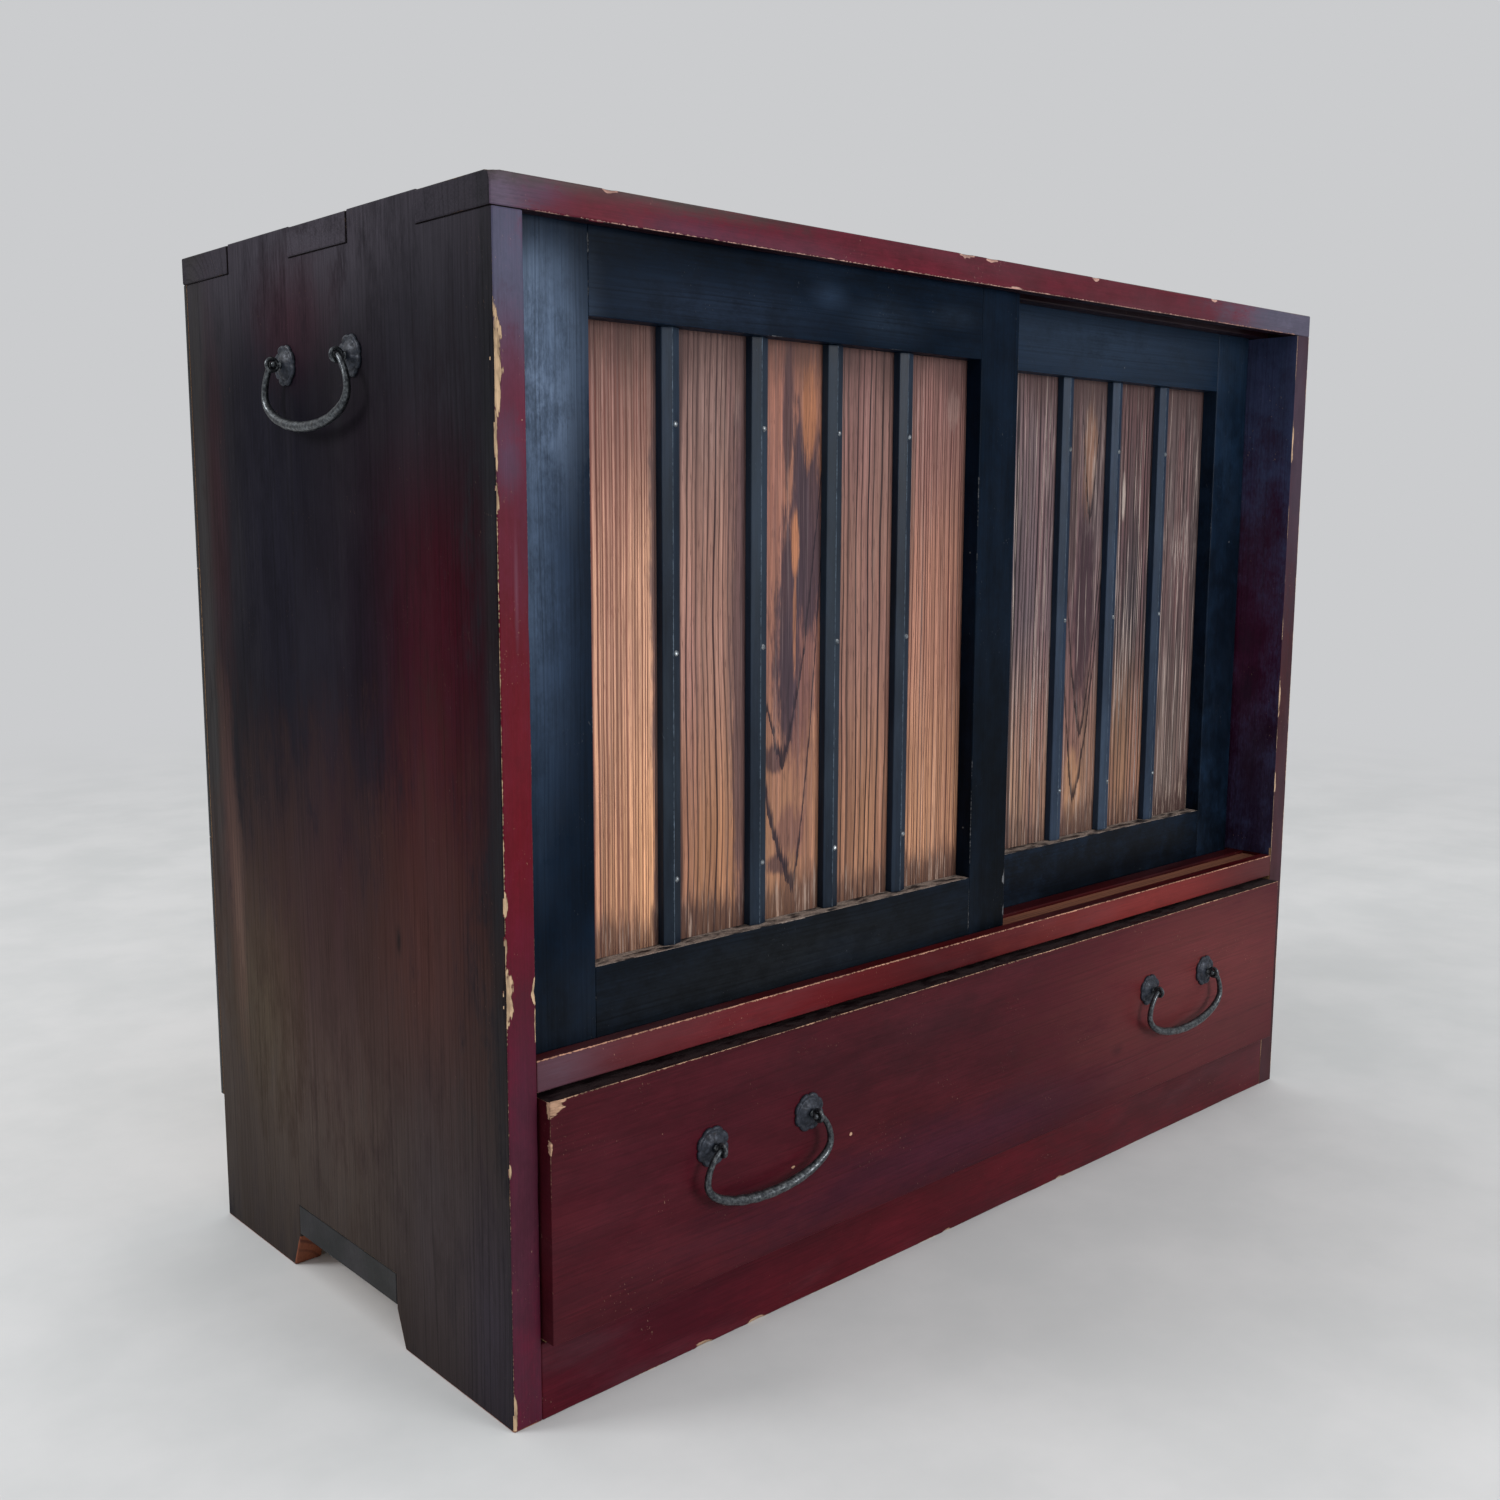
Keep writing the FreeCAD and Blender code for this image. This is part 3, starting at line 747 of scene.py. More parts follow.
post_chips += [
    ((-inner_x, front_y, 0.300), (0.0034, 0.004, 0.008), 0.8 * MM),
    ((-inner_x, front_y, 0.276), (0.0014, 0.003, 0.012), 0.3 * MM),
]
# The grey-violet rows near the top are bloom and painted reflection together.
post_stains = marks_on(1, front_y, 0.02, (
    (violet_bloom_and_reflection, (-0.48, 0.76), (0.04, 0.065), 0.95),
    ((94, 18, 40), (-0.476, 0.665), (0.010, 0.030), 0.85),
    ((84, 30, 54), (-0.482, 0.690), (0.010, 0.030), 0.6),
    ((96, 8, 22), (-0.478, 0.44), (0.02, 0.12), 0.9),
    ((104, 62, 78), (-0.478, 0.560), (0.0012, 0.026), 0.6),
    ((74, 62, 84), (-0.482, 0.640), (0.009, 0.018), 0.6),
    ((68, 34, 48), (-0.480, 0.16), (0.016, 0.12), 0.75),
))
outer_only = (
    ("X", -0.474, -0.482, 0.5, 1.0),
    ("Z", 0.22, 0.30, 0.6, 1.0),
    ("Z", 0.735, 0.725, 0.5, 1.0),
)
post_coat = lacquer(
    "post_lacquer", (rgb(68, 22, 42), rgb(92, 16, 36)), 0.8, post_stains, post_chips, band=0.0009, run=1.35,
    rub=outer_only, bloom=(rgb(112, 82, 104), 0.10), bare=rgb(200, 170, 138), streaks=0.1, drawn=34.0,
)
print("side coats:", side_coat.name, right_side_coat.name, post_coat.name)

# %% [markdown]
# The right side is the same board mirrored, with the left one's stains
# mirrored and made fainter. Its front edge is browner, and a few chips sit on
# its inner arris. Inside the bay the lacquer is a slaty blue with a wine-red
# stain. The cut faces of the foot arch are bare, stained orange-brown.

# %% Sides
right_chips = [
    ((inner_x, front_y, z), (0.0026, 0.003, tall), 0.5 * MM)
    for z, tall in ((0.688, 0.012), (0.668, 0.008), (0.42, 0.02), (0.33, 0.01))
]
right_stains = marks_on(1, front_y, 0.02, (((62, 50, 64), (inner_x + 0.01, 0.70), (0.03, 0.15), 0.8),))
right_post_coat = lacquer(
    "right_post_lacquer", (rgb(46, 21, 27), rgb(62, 27, 33)), 0.6, right_stains, right_chips,
    band=0.0008, run=0.6, bloom=(rgb(80, 70, 82), 0.25), bare=rgb(190, 160, 134), streaks=0.14, drawn=30.0,
)
inside_stains = marks_on(0, inner_x, 0.05, (
    ((60, 0, 32), (-0.182, 0.47), (0.048, 0.15), 0.95),
    ((30, 10, 30), (-0.195, 0.32), (0.040, 0.09), 0.7),
))
inside_coat = lacquer(
    "inside_lacquer", (rgb(46, 58, 86), rgb(62, 66, 98)), 0.8, inside_stains, band=0.0003, run=0.1,
    bloom=(rgb(76, 76, 96), 0.15), roughness=0.45, streaks=0.16, drawn=30.0,
)


def raw_wood(name, pale, dark, ring=0.005, roughness=0.72, dirt=0.35):
    """Planed softwood with no finish, soiled in patches."""
    finish, tree, shader = new_finish(name)
    grain, start = carried(tree, "grain"), carried(tree, "start")
    wood = vector_calc(tree, "ADD", grain, start)
    rings = use(tree, rings_group, Place=grain, Start=start, Ring=ring, Pith_Side=0.16, Wander=0.014)
    marks = use(tree, marks_group, Place=wood, Wood=wood)
    colour = tint(tree, times(tree, rings["Late"], 0.8), pale, dark)
    colour = tint(tree, ease(tree, rings["Fibre"], 0.35, 0.8, 0.0, 0.4), colour, dark)
    colour = tint(tree, times(tree, marks["Bloom"], dirt), colour, darker(dark, 0.3))
    height = plus(tree, times(tree, rings["Late"], 0.5), rings["Fibre"])
    close_finish(tree, shader, colour, roughness, height, 0.0003, 0.3)
    return finish


foot_wood = raw_wood("foot_wood", rgb(140, 80, 54), rgb(84, 44, 32))
carcass_wood = raw_wood("carcass_wood", rgb(168, 132, 96), rgb(104, 74, 52))

arch_top = round(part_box("base_board")[0].z, 4)
above_top = 0.9


def foot_cut(face):
    """The cut faces of the foot arch look down near the floor."""
    return face.normal.z < -0.1 and face.calc_center_median().z < arch_top


for sign, name, edge_coat, chips in (
    (-1, "left_side", post_coat, post_chips),
    (1, "right_side", right_post_coat, right_chips),
):
    coats = [
        (foot_cut, foot_wood),
        (facing(1, -1, -1.0, front_y + edge_depth, along=1), edge_coat),
        (facing(0, sign), side_coat if sign < 0 else right_side_coat),
        (facing(0, -sign, 0.25, 1.0, along=2), inside_coat),
        (facing(0, -sign), carcass_wood),
        (anywhere, side_coat),
    ]
    low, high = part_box(name)
    span = (low, Vector((high.x, high.y, above_top)))
    piece = board(name, "carcass", coats, 2, span, arris=1.2, chips=chips)
    print(piece.name, len(piece.data.polygons), "faces")

# %% [markdown]
# ## Top, sill and kick board
# The top's front edge is the reddest board, greyed at its left end where the
# bloom and painted reflection of the post run on across the joint. The sill
# carries the door grooves: their floors are rubbed down to tan wood by the
# doors. Its ends lie in the sides, so its box reaches past them. The kick board
# closes the chest at the floor, and its lower arris is chipped. The underside
# of the top is near-black: painted shade under the top.

# %% Coats of the long boards
top_z = round(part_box("top_board")[1].z, 4)
top_chips = [
    ((x, front_y, top_z), (wide, 0.003, 0.003), 0.7 * MM)
    for x, wide in ((-0.402, 0.006), (-0.052, 0.009), (-0.02, 0.008), (0.12, 0.005), (0.31, 0.005))
]
top_chips += [((0.012, front_y, 0.788), (0.008, 0.003, 0.003), 0.6 * MM)]
rounded_corner = ((-side_x, front_y, top_z), (0.007, 0.006, 0.007), 1.8 * MM)
# The grey-violet rows at the left end carry the post's bloom and painted reflection across the joint.
top_stains = marks_on(1, front_y, 0.02, (
    ((86, 78, 96), (-0.484, 0.79), (0.020, 0.06), 0.9),
    ((78, 58, 78), (-0.455, 0.803), (0.020, 0.012), 0.8),
    ((72, 66, 64), (-0.40, 0.811), (0.13, 0.008), 0.9),
    ((98, 24, 38), (-0.40, 0.795), (0.035, 0.010), 0.6),
    ((76, 46, 66), (-0.33, 0.790), (0.040, 0.008), 0.6),
    ((84, 40, 56), (-0.25, 0.790), (0.06, 0.008), 0.7),
    ((78, 26, 36), (-0.10, 0.803), (0.09, 0.010), 0.6),
    ((86, 30, 38), (0.16, 0.8), (0.14, 0.02), 0.6),
    ((82, 84, 102), (0.455, 0.8), (0.10, 0.03), 0.9),
))
lower_only = (
    ("Z", 0.800, 0.796, 0.4, 1.0),
    ("X", -0.472, -0.464, 0.0, 1.0),
    ("X", 0.472, 0.464, 0.0, 1.0),
)
top_edge_coat = lacquer(
    "top_edge_lacquer", (rgb(76, 24, 38), rgb(90, 24, 38)), 0.6, top_stains, top_chips, band=0.0010,
    run=1.1, rub=lower_only, bloom=(rgb(100, 84, 94), 0.16), bare=rgb(196, 154, 142), streaks=0.14,
    drawn=30.0,
)
lid_coat = lacquer(
    "lid_lacquer", (rgb(34, 28, 30), rgb(54, 34, 36)), 0.8, band=0.0014, run=0.6,
    bloom=(rgb(110, 104, 100), 0.3), bare=rgb(112, 90, 74), streaks=0.18,
)
# The top's underside is lacquer written near-black: painted shade under the top.
under_shade_coat = lacquer("under_lacquer_painted_shade", (rgb(20, 10, 16), rgb(32, 10, 16)), 0.8, band=0.0004, run=0.2)
joint_shade = lacquer(
    "joint_shadow", (rgb(14, 10, 12), rgb(20, 14, 16)), band=0.0001, run=0.0, gloss=0.05,
)
sill_stains = marks_on(1, front_y, 0.05, (
    ((78, 58, 70), (-0.45, 0.24), (0.035, 0.03), 0.8),
    ((102, 17, 23), (-0.28, 0.24), (0.13, 0.03), 0.7),
    ((120, 42, 40), (0.24, 0.24), (0.16, 0.03), 0.8),
    ((74, 36, 38), (0.46, 0.24), (0.08, 0.03), 0.7),
))
sill_bare = rgb(196, 148, 124)
sill_rub = (("Z", 0.236, 0.246, 0.55, 1.35),)
sill_coat = lacquer(
    "sill_lacquer", (rgb(54, 12, 16), rgb(74, 15, 20)), 0.7, sill_stains, band=0.0007, run=1.15,
    rub=sill_rub, bare=sill_bare, streaks=0.14,
)
sill_lip_coat = lacquer(
    "sill_lip_lacquer", (rgb(40, 6, 10), rgb(76, 14, 16)), 0.7, band=0.0007, run=1.1, bare=sill_bare,
)
track_wood = raw_wood("track_wood", rgb(132, 84, 62), rgb(64, 32, 27), dirt=0.7)
kick_chips = [
    ((-0.325, front_y, 0.0), (0.008, 0.004, 0.0032), 1.2 * MM),
    ((-0.272, front_y, 0.0), (0.008, 0.004, 0.0030), 1.0 * MM),
    ((-0.05, front_y, 0.0), (0.006, 0.004, 0.0022), 0.7 * MM),
    ((0.11, front_y, 0.0), (0.005, 0.004, 0.0022), 0.6 * MM),
]
kick_stains = marks_on(1, front_y, 0.05, (
    ((66, 14, 28), (-0.40, 0.02), (0.12, 0.05), 0.6),
    ((64, 30, 34), (0.35, 0.03), (0.2, 0.05), 0.5),
))
bottom_only = (("Z", 0.03, 0.01, 0.0, 1.0),)
kick_coat = lacquer(
    "kick_lacquer", (rgb(64, 12, 22), rgb(78, 15, 25)), 0.6, kick_stains, kick_chips, band=0.0008, run=0.5,
    rub=bottom_only, bare=rgb(190, 158, 132), streaks=0.14,
)
print("long board coats made")

# %% Top, sill and kick board
top_coats = [
    (facing(1, -1, -1.0, front_y + edge_depth, along=1), top_edge_coat),
    (facing(2, 1), lid_coat),
    (facing(2, -1, -inner_x, inner_x, along=0), under_shade_coat),
    (facing(1, -1, -inner_x, inner_x, along=0), under_shade_coat),
    (facing(1, 1, 0.2, 1.0, along=1), side_coat),
    (facing(0, -1, -1.0, -side_x + near, along=0), side_coat),
    (facing(0, 1, side_x - near, 1.0, along=0), side_coat),
    (anywhere, joint_shade),
]
top_chips += [rounded_corner]
board("top_board", "carcass", top_coats, 0, arris=1.2, step=25.0, chips=top_chips)

sill_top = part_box("sill_rail")[1].z
sill_coats = [
    (facing(1, -1, -1.0, front_y + near, along=1), sill_coat),
    (facing(2, 1, sill_top - near / 2, 1.0, along=2), sill_lip_coat),
    (facing(2, 1), track_wood),
    (facing(2, -1), sill_coat),
    (anywhere, sill_lip_coat),
]
low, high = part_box("sill_rail")
past_ends = 0.6
sill_span = (Vector((-past_ends, low.y, low.z)), Vector((past_ends, high.y, high.z)))
board("sill_rail", "carcass", sill_coats, 0, sill_span, arris=0.8, step=25.0, knock=0.4)
kick_coats = [(anywhere, kick_coat)]
board("kick_board", "carcass", kick_coats, 0, step=25.0, chips=kick_chips)
print("dressed boards so far:", board_count)

# %% [markdown]
# ## Boards that hardly show
# The base, the back and the bay floor are plain softwood. The base's tenon
# ends show in the foot arches, where they were lacquered with the side, and
# the end grain of the others was sealed with the same dark coat. The three
# back boards came out of different logs, so each has its own shade and rings.

# %% Hidden boards
tenon_coat = lacquer(
    "tenon_lacquer", (rgb(20, 22, 24), rgb(38, 38, 38)), 0.8, band=0.0002, run=0.1, gloss=0.1, streaks=0.2,
    bare=rgb(90, 76, 66),
)
back_woods = {
    "back_board_1": raw_wood("back_wood_1", rgb(150, 116, 84), rgb(94, 66, 46)),
    "back_board_2": raw_wood("back_wood_2", rgb(176, 140, 104), rgb(112, 82, 58), ring=0.007),
    "back_board_3": raw_wood("back_wood_3", rgb(160, 122, 88), rgb(98, 68, 48), ring=0.004),
}


def tenon_end(face):
    return abs(face.calc_center_median().x) > inner_x + near


def board_end(face):
    return abs(face.normal.x) > 0.5


for name in ("base_board", "rear_rail", "bay_floor", *back_woods):
    coated = tenon_end if name == "base_board" else board_end
    rules = [(coated, tenon_coat), (anywhere, back_woods.get(name, carcass_wood))]
    board(name, "carcass", rules, 0, arris=0.6, step=60.0)
print("dressed boards so far:", board_count)

# %% [markdown]
# ## The door frames
# Stiles and rails are the same dark lacquer with a blue cast. Handling has
# left a grey bloom on the left stile and the top rail, and on the left stile
# the pale blue-grey haze is also a painted reflection. Dust lies thick on the
# upper faces of the bottom rails. The battens between the boards have a
# ridge down the middle, so their two slopes catch the light differently, and
# the pale line along the ridge is a painted highlight over rubbed lacquer.
# On the rear door, the near-black right stile is painted shade beside the
# right side, and its bottom rail is darker.

# %% Door coats
door_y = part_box("front_door_top_rail")[0].y
haze_and_reflection = (68, 82, 102)
# The pale blue-grey rows on the left stile are handling bloom and painted reflection together.
frame_stains = marks_on(1, door_y, 0.05, (
    ((118, 136, 162), (-0.450, 0.685), (0.023, 0.075), 1.0),
    ((10, 20, 32), (-0.43, 0.785), (0.05, 0.016), 0.8),
    (haze_and_reflection, (-0.436, 0.715), (0.026, 0.045), 0.75),
    ((34, 46, 64), (-0.442, 0.56), (0.026, 0.12), 0.8),
    ((64, 78, 98), (-0.456, 0.57), (0.014, 0.09), 0.9),
    ((44, 58, 78), (-0.440, 0.54), (0.010, 0.09), 0.6),
    ((38, 52, 70), (-0.456, 0.44), (0.010, 0.07), 0.6),
    ((32, 42, 58), (-0.30, 0.745), (0.10, 0.018), 0.5),
    ((25, 27, 29), (-0.22, 0.27), (0.24, 0.04), 0.75),
    ((5, 9, 14), (0.012, 0.37), (0.03, 0.17), 0.75),
    ((44, 60, 82), (-0.19, 0.765), (0.016, 0.008), 0.4),
    ((38, 50, 66), (-0.13, 0.752), (0.036, 0.014), 0.4),
    ((38, 50, 66), (-0.05, 0.762), (0.026, 0.008), 0.35),
))
frame_chips = [
    ((0.034, door_y, 0.295), (0.0026, 0.003, 0.008), 0.4 * MM),
    ((0.034, door_y, 0.265), (0.0018, 0.003, 0.005), 0.3 * MM),
]
frame_bare = rgb(112, 114, 118)
front_frame_coat = lacquer(
    "front_frame_lacquer", (rgb(1, 9, 20), rgb(5, 17, 31)), 0.9, frame_stains, frame_chips, band=0.0006,
    run=0.45, bloom=(rgb(38, 58, 84), 0.14), roughness=0.36, gloss=0.035, bare=frame_bare, streaks=0.24,
    specks=0.6, scratches=0.35, drawn=34.0, fray=0.8,
)
rear_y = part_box("rear_door_top_rail")[0].y
# Rear frame marks: a haze on the top rail, a darker bottom rail, and a near-black right stile that is
# painted shade beside the right side.
rear_haze_and_shade = marks_on(1, rear_y, 0.05, (
    ((44, 57, 74), (0.2, 0.765), (0.22, 0.035), 0.5),
    ((6, 10, 16), (0.22, 0.255), (0.3, 0.055), 0.95),
    ((6, 12, 21), (0.44, 0.44), (0.03, 0.20), 0.75),
))
rear_frame_coat = lacquer(
    "rear_frame_lacquer", (rgb(8, 20, 34), rgb(18, 33, 51)), 0.9, rear_haze_and_shade, band=0.0005, run=0.35,
    bloom=(rgb(50, 64, 84), 0.12), roughness=0.36, gloss=0.06, bare=frame_bare, streaks=0.2,
    specks=0.5, scratches=0.3, drawn=36.0,
)
front_batten_coat, rear_batten_coat = (
    lacquer(
        name, shades, 0.8, band=0.0005, run=0.9, bloom=(rgb(80, 96, 112), 0.16), roughness=0.34, gloss=0.1,
        bare=rgb(88, 102, 116), streaks=0.16, specks=0.5, scratches=0.35, ridge_highlight=True,
    )
    for name, shades in (
        ("front_batten_lacquer", (rgb(14, 22, 32), rgb(32, 44, 60))),
        ("rear_batten_lacquer", (rgb(22, 34, 50), rgb(46, 60, 80))),
    )
)


def dusty(name, under, dust):
    """A level face under a layer of dust, thicker in some places."""
    finish, tree, shader = new_finish(name)
    place = object_place(tree)
    layer = ease(tree, cloud(tree, place, (60.0, 160.0, 60.0), 4.0, 0.6), 0.36, 0.58)
    grit = cloud(tree, place, (900.0, 900.0, 900.0), 2.0)
    colour = tint(tree, ease(tree, grit, 0.3, 0.7), dust, darker(dust, 0.55))
    colour = tint(tree, layer, under, colour)
    rough = plus(tree, 0.45, times(tree, layer, 0.45))
    close_finish(tree, shader, colour, rough, times(tree, grit, layer), 0.0005, 0.2)
    return finish


dusty_coat = dusty("dusty_lacquer", rgb(24, 24, 28), rgb(158, 142, 132))
print("door coats made")

# %% Door frames and battens
for door, frame_coat, batten_coat in (
    ("front_door", front_frame_coat, front_batten_coat),
    ("rear_door", rear_frame_coat, rear_batten_coat),
):
    opening_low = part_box(door + "_bottom_rail")[1].z
    frame_coats = [
        (facing(2, 1, opening_low - 10 * near, opening_low + near, along=2), dusty_coat),
        (anywhere, frame_coat),
    ]
    inner_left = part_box(door + "_left_stile")[1].x
    inner_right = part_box(door + "_right_stile")[0].x
    for stile in ("_left_stile", "_right_stile"):
        board(door + stile, door, frame_coats, 2, arris=0.7, step=25.0, knock=0.3)
    for rail in ("_bottom_rail", "_top_rail"):
        low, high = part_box(door + rail)
        span = (Vector((inner_left, low.y, low.z)), Vector((inner_right, high.y, high.z)))
        board(door + rail, door, frame_coats, 0, span, arris=0.6, step=25.0, knock=0.3)
    batten_coats = [(anywhere, batten_coat)]
    for index in range(1, 5):
        board(f"{door}_batten_{index}", door, batten_coats, 2, arris=0.5, knock=0.2)
print("dressed boards so far:", board_count)

# %% [markdown]
# ## The door boards
# The boards between the battens are bare, weathered softwood, and each is cut
# differently: straight and fine, wavy, flamed, or with bold dark lines. The
# soft early wood has worn back, so the late wood stands up as ridges. The
# foot of each board is soiled and dusty, and a painted shadow of the top rail
# darkens the wood under it. Each board's row gives its colours at the top, the
# middle and the foot, its dark colour, the ring spacing, where the pith lies,
# how it leans, how far the grain wanders, how bold the lines are and how much
# of a ring they take, then dust and pale scuffing. Marks in a board's own place
# (a dark heart, a pale island) follow as a list, and so do the veins: the tip's
# place, the slope of each arm, the width and strength.

# %% Weathered board
soil_shade, dust_shade, rail_shadow_colour = rgb(66, 47, 44), rgb(164, 144, 132), rgb(72, 54, 53)
scuff_shade, hair_shade, ruddy_shade = rgb(176, 160, 154), rgb(186, 168, 160), rgb(132, 88, 88)
opening_height = 0.43


def weathered(
    name, shades, dark, ring, side, deep, lean, wander, bold, late, dust, scuff, foot_z, marked, veins,
):
    finish, tree, shader = new_finish(name)
    grain, start = carried(tree, "grain"), carried(tree, "start")
    wood = vector_calc(tree, "ADD", grain, start)
    rings = use(
        tree, rings_group, Place=grain, Start=start, Ring=ring, Pith_Side=side, Pith_Depth=deep, Lean=lean,
        Wander=wander, Late_Share=late, Faint=0.65,
    )
    marks = use(tree, marks_group, Place=wood, Wood=wood, Drawn=9.0)
    height_z = put(tree, "ShaderNodeSeparateXYZ", {0: object_place(tree)}).node.outputs["Z"]
    top, middle, foot = shades
    ground = tint(tree, ease(tree, height_z, foot_z + 0.40, foot_z + 0.24), top, middle)
    ground = tint(tree, ease(tree, height_z, foot_z + 0.22, foot_z + 0.05), ground, foot)
    slow = cloud(tree, wood, (30.0, 30.0, 3.0), 4.0, 0.6)
    ground = tint(tree, ease(tree, slow, 0.40, 0.66, 0.0, 0.4), ground, ruddy_shade)
    ground = shade_by(tree, ground, ease(tree, rings["Tone"], 0.0, 1.0, 0.88, 1.10))
    lines = times(tree, rings["Late"], bold)
    colour = tint(tree, lines, ground, dark)
    for shade, centre, reach, strength in marked:
        mask = use(
            tree, patch_group, Place=grain, Centre=centre, Size=reach, Ragged=marks["Brush"], Fray=1.7,
            Soft=0.3,
        )["Mask"]
        colour = tint(tree, times(tree, mask, strength), colour, shade)
    for (tip_x, tip_z), left, right, wide, strength in veins:
        mask = use(
            tree, vein_group, Place=grain, Tip=(tip_x, 0.0, tip_z), Left=left, Right=right, Width=wide,
            Ragged=marks["Brush"],
        )["Mask"]
        colour = tint(tree, times(tree, mask, strength), colour, dark)
    fibre = ease(tree, rings["Fibre"], 0.35, 0.65, 0.80, 1.16)
    streak = ease(tree, cloud(tree, wood, (240.0, 240.0, 5.0), 2.0), 0.35, 0.65, 0.84, 1.14)
    colour = shade_by(tree, colour, times(tree, fibre, streak))
    ragged = cloud(tree, wood, (380.0, 380.0, 16.0), 4.0, 0.65)
    scuffed = times(tree, ease(tree, ragged, 0.52, 0.66), ease(tree, marks["Bloom"], 0.2, 0.8), scuff)
    colour = tint(tree, scuffed, colour, scuff_shade)
    hairs = ease(tree, cloud(tree, wood, (640.0, 640.0, 7.0), 2.0), 0.60, 0.68, 0.0, scuff)
    colour = tint(tree, hairs, colour, hair_shade)
    pores = cloud(tree, wood, (1100.0, 1100.0, 60.0), 3.0, 0.6)
    colour = tint(tree, ease(tree, pores, 0.56, 0.70, 0.0, 0.55), colour, dark)
    uneven = times(tree, minus(tree, marks["Brush"], 0.5), 0.11)
    edge = plus(tree, height_z, uneven)
    # Painted shadow of the top rail: the wood darkens towards the rail's lower edge.
    rail_z = foot_z + opening_height
    painted_rail_shadow = ease(tree, edge, rail_z - 0.050, rail_z + 0.004, 0.0, 0.75)
    colour = tint(tree, painted_rail_shadow, colour, rail_shadow_colour)
    soiled = times(tree, ease(tree, edge, foot_z + 0.040, foot_z + 0.012), dust)
    grime = tint(tree, ease(tree, ragged, 0.53, 0.66), soil_shade, dust_shade)
    colour = tint(tree, soiled, colour, grime)
    height = plus(tree, times(tree, lines, 0.9), times(tree, rings["Fibre"], 0.4))
    rough = ease(tree, rings["Late"], 0.0, 1.0, 0.74, 0.55)
    close_finish(tree, shader, colour, rough, height, 0.0005, 0.18)
    return finish


heart, island = (66, 52, 60), (168, 112, 82)


def marks_in_wood(rows):
    """Marks in a board's own place, which go right through its thickness."""
    return marks_on(1, 0.0, 0.05, rows)


flame_marks = marks_in_wood((
    (heart, (-0.004, 0.165), (0.005, 0.050), 0.8),
    (heart, (0.008, 0.110), (0.008, 0.060), 0.9),
    ((108, 74, 72), (0.010, 0.000), (0.022, 0.090), 0.8),
    (heart, (0.019, 0.080), (0.017, 0.085), 0.92),
    (heart, (-0.002, 0.005), (0.013, 0.070), 0.9),
    (heart, (-0.004, -0.045), (0.007, 0.050), 0.9),
    ((74, 54, 58), (-0.016, -0.094), (0.012, 0.010), 0.85),
    ((112, 78, 74), (0.000, -0.150), (0.014, 0.022), 0.7),
    ((74, 54, 58), (-0.013, -0.174), (0.013, 0.008), 0.8),
    (island, (0.018, 0.170), (0.008, 0.036), 0.9),
    (island, (0.004, 0.070), (0.0034, 0.024), 0.9),
    (island, (0.004, 0.010), (0.0016, 0.035), 0.6),
))
flame_veins = (
    ((0.004, -0.198), 1.5, 5.5, 0.020, 0.95),
    ((-0.008, -0.098), 1.5, 2.6, 0.014, 0.95),
    ((-0.006, -0.062), 3.0, 6.0, 0.016, 0.3),
)
rear_flame_marks = marks_in_wood((
    ((58, 40, 48), (0.004, 0.00), (0.014, 0.11), 0.85),
    ((60, 44, 44), (-0.018, 0.12), (0.009, 0.11), 0.6),
    ((134, 98, 78), (0.006, 0.150), (0.010, 0.060), 0.7),
    ((176, 132, 100), (-0.006, -0.17), (0.014, 0.03), 0.7),
))
rear_flame_veins = (
    ((0.004, -0.118), 3.0, 4.0, 0.020, 0.85),
    ((-0.004, -0.190), 5.0, 3.0, 0.022, 0.9),
    ((0.010, 0.085), 5.0, 7.0, 0.020, 0.85),
)
edge_marks = marks_in_wood((((96, 78, 80), (0.034, 0.0), (0.006, 0.4), 0.8),))
right_dark = marks_in_wood((
    ((92, 70, 72), (0.030, -0.02), (0.008, 0.25), 0.8),
    ((96, 74, 72), (0.020, 0.05), (0.003, 0.16), 0.5),
))
pale_spot = marks_in_wood((((168, 142, 134), (0.022, 0.175), (0.010, 0.018), 0.3),))
white_spot = marks_in_wood((((178, 164, 156), (-0.014, 0.105), (0.003, 0.022), 0.7),))
print("marks on the flamed board:", len(flame_marks), "veins:", len(flame_veins))

# %% [markdown]
# The table that follows has one row for each board, left to right, and the
# loop cuts and coats all ten. The rear door has stood in more damp, so its
# boards are greyer and carry pale scuffs.

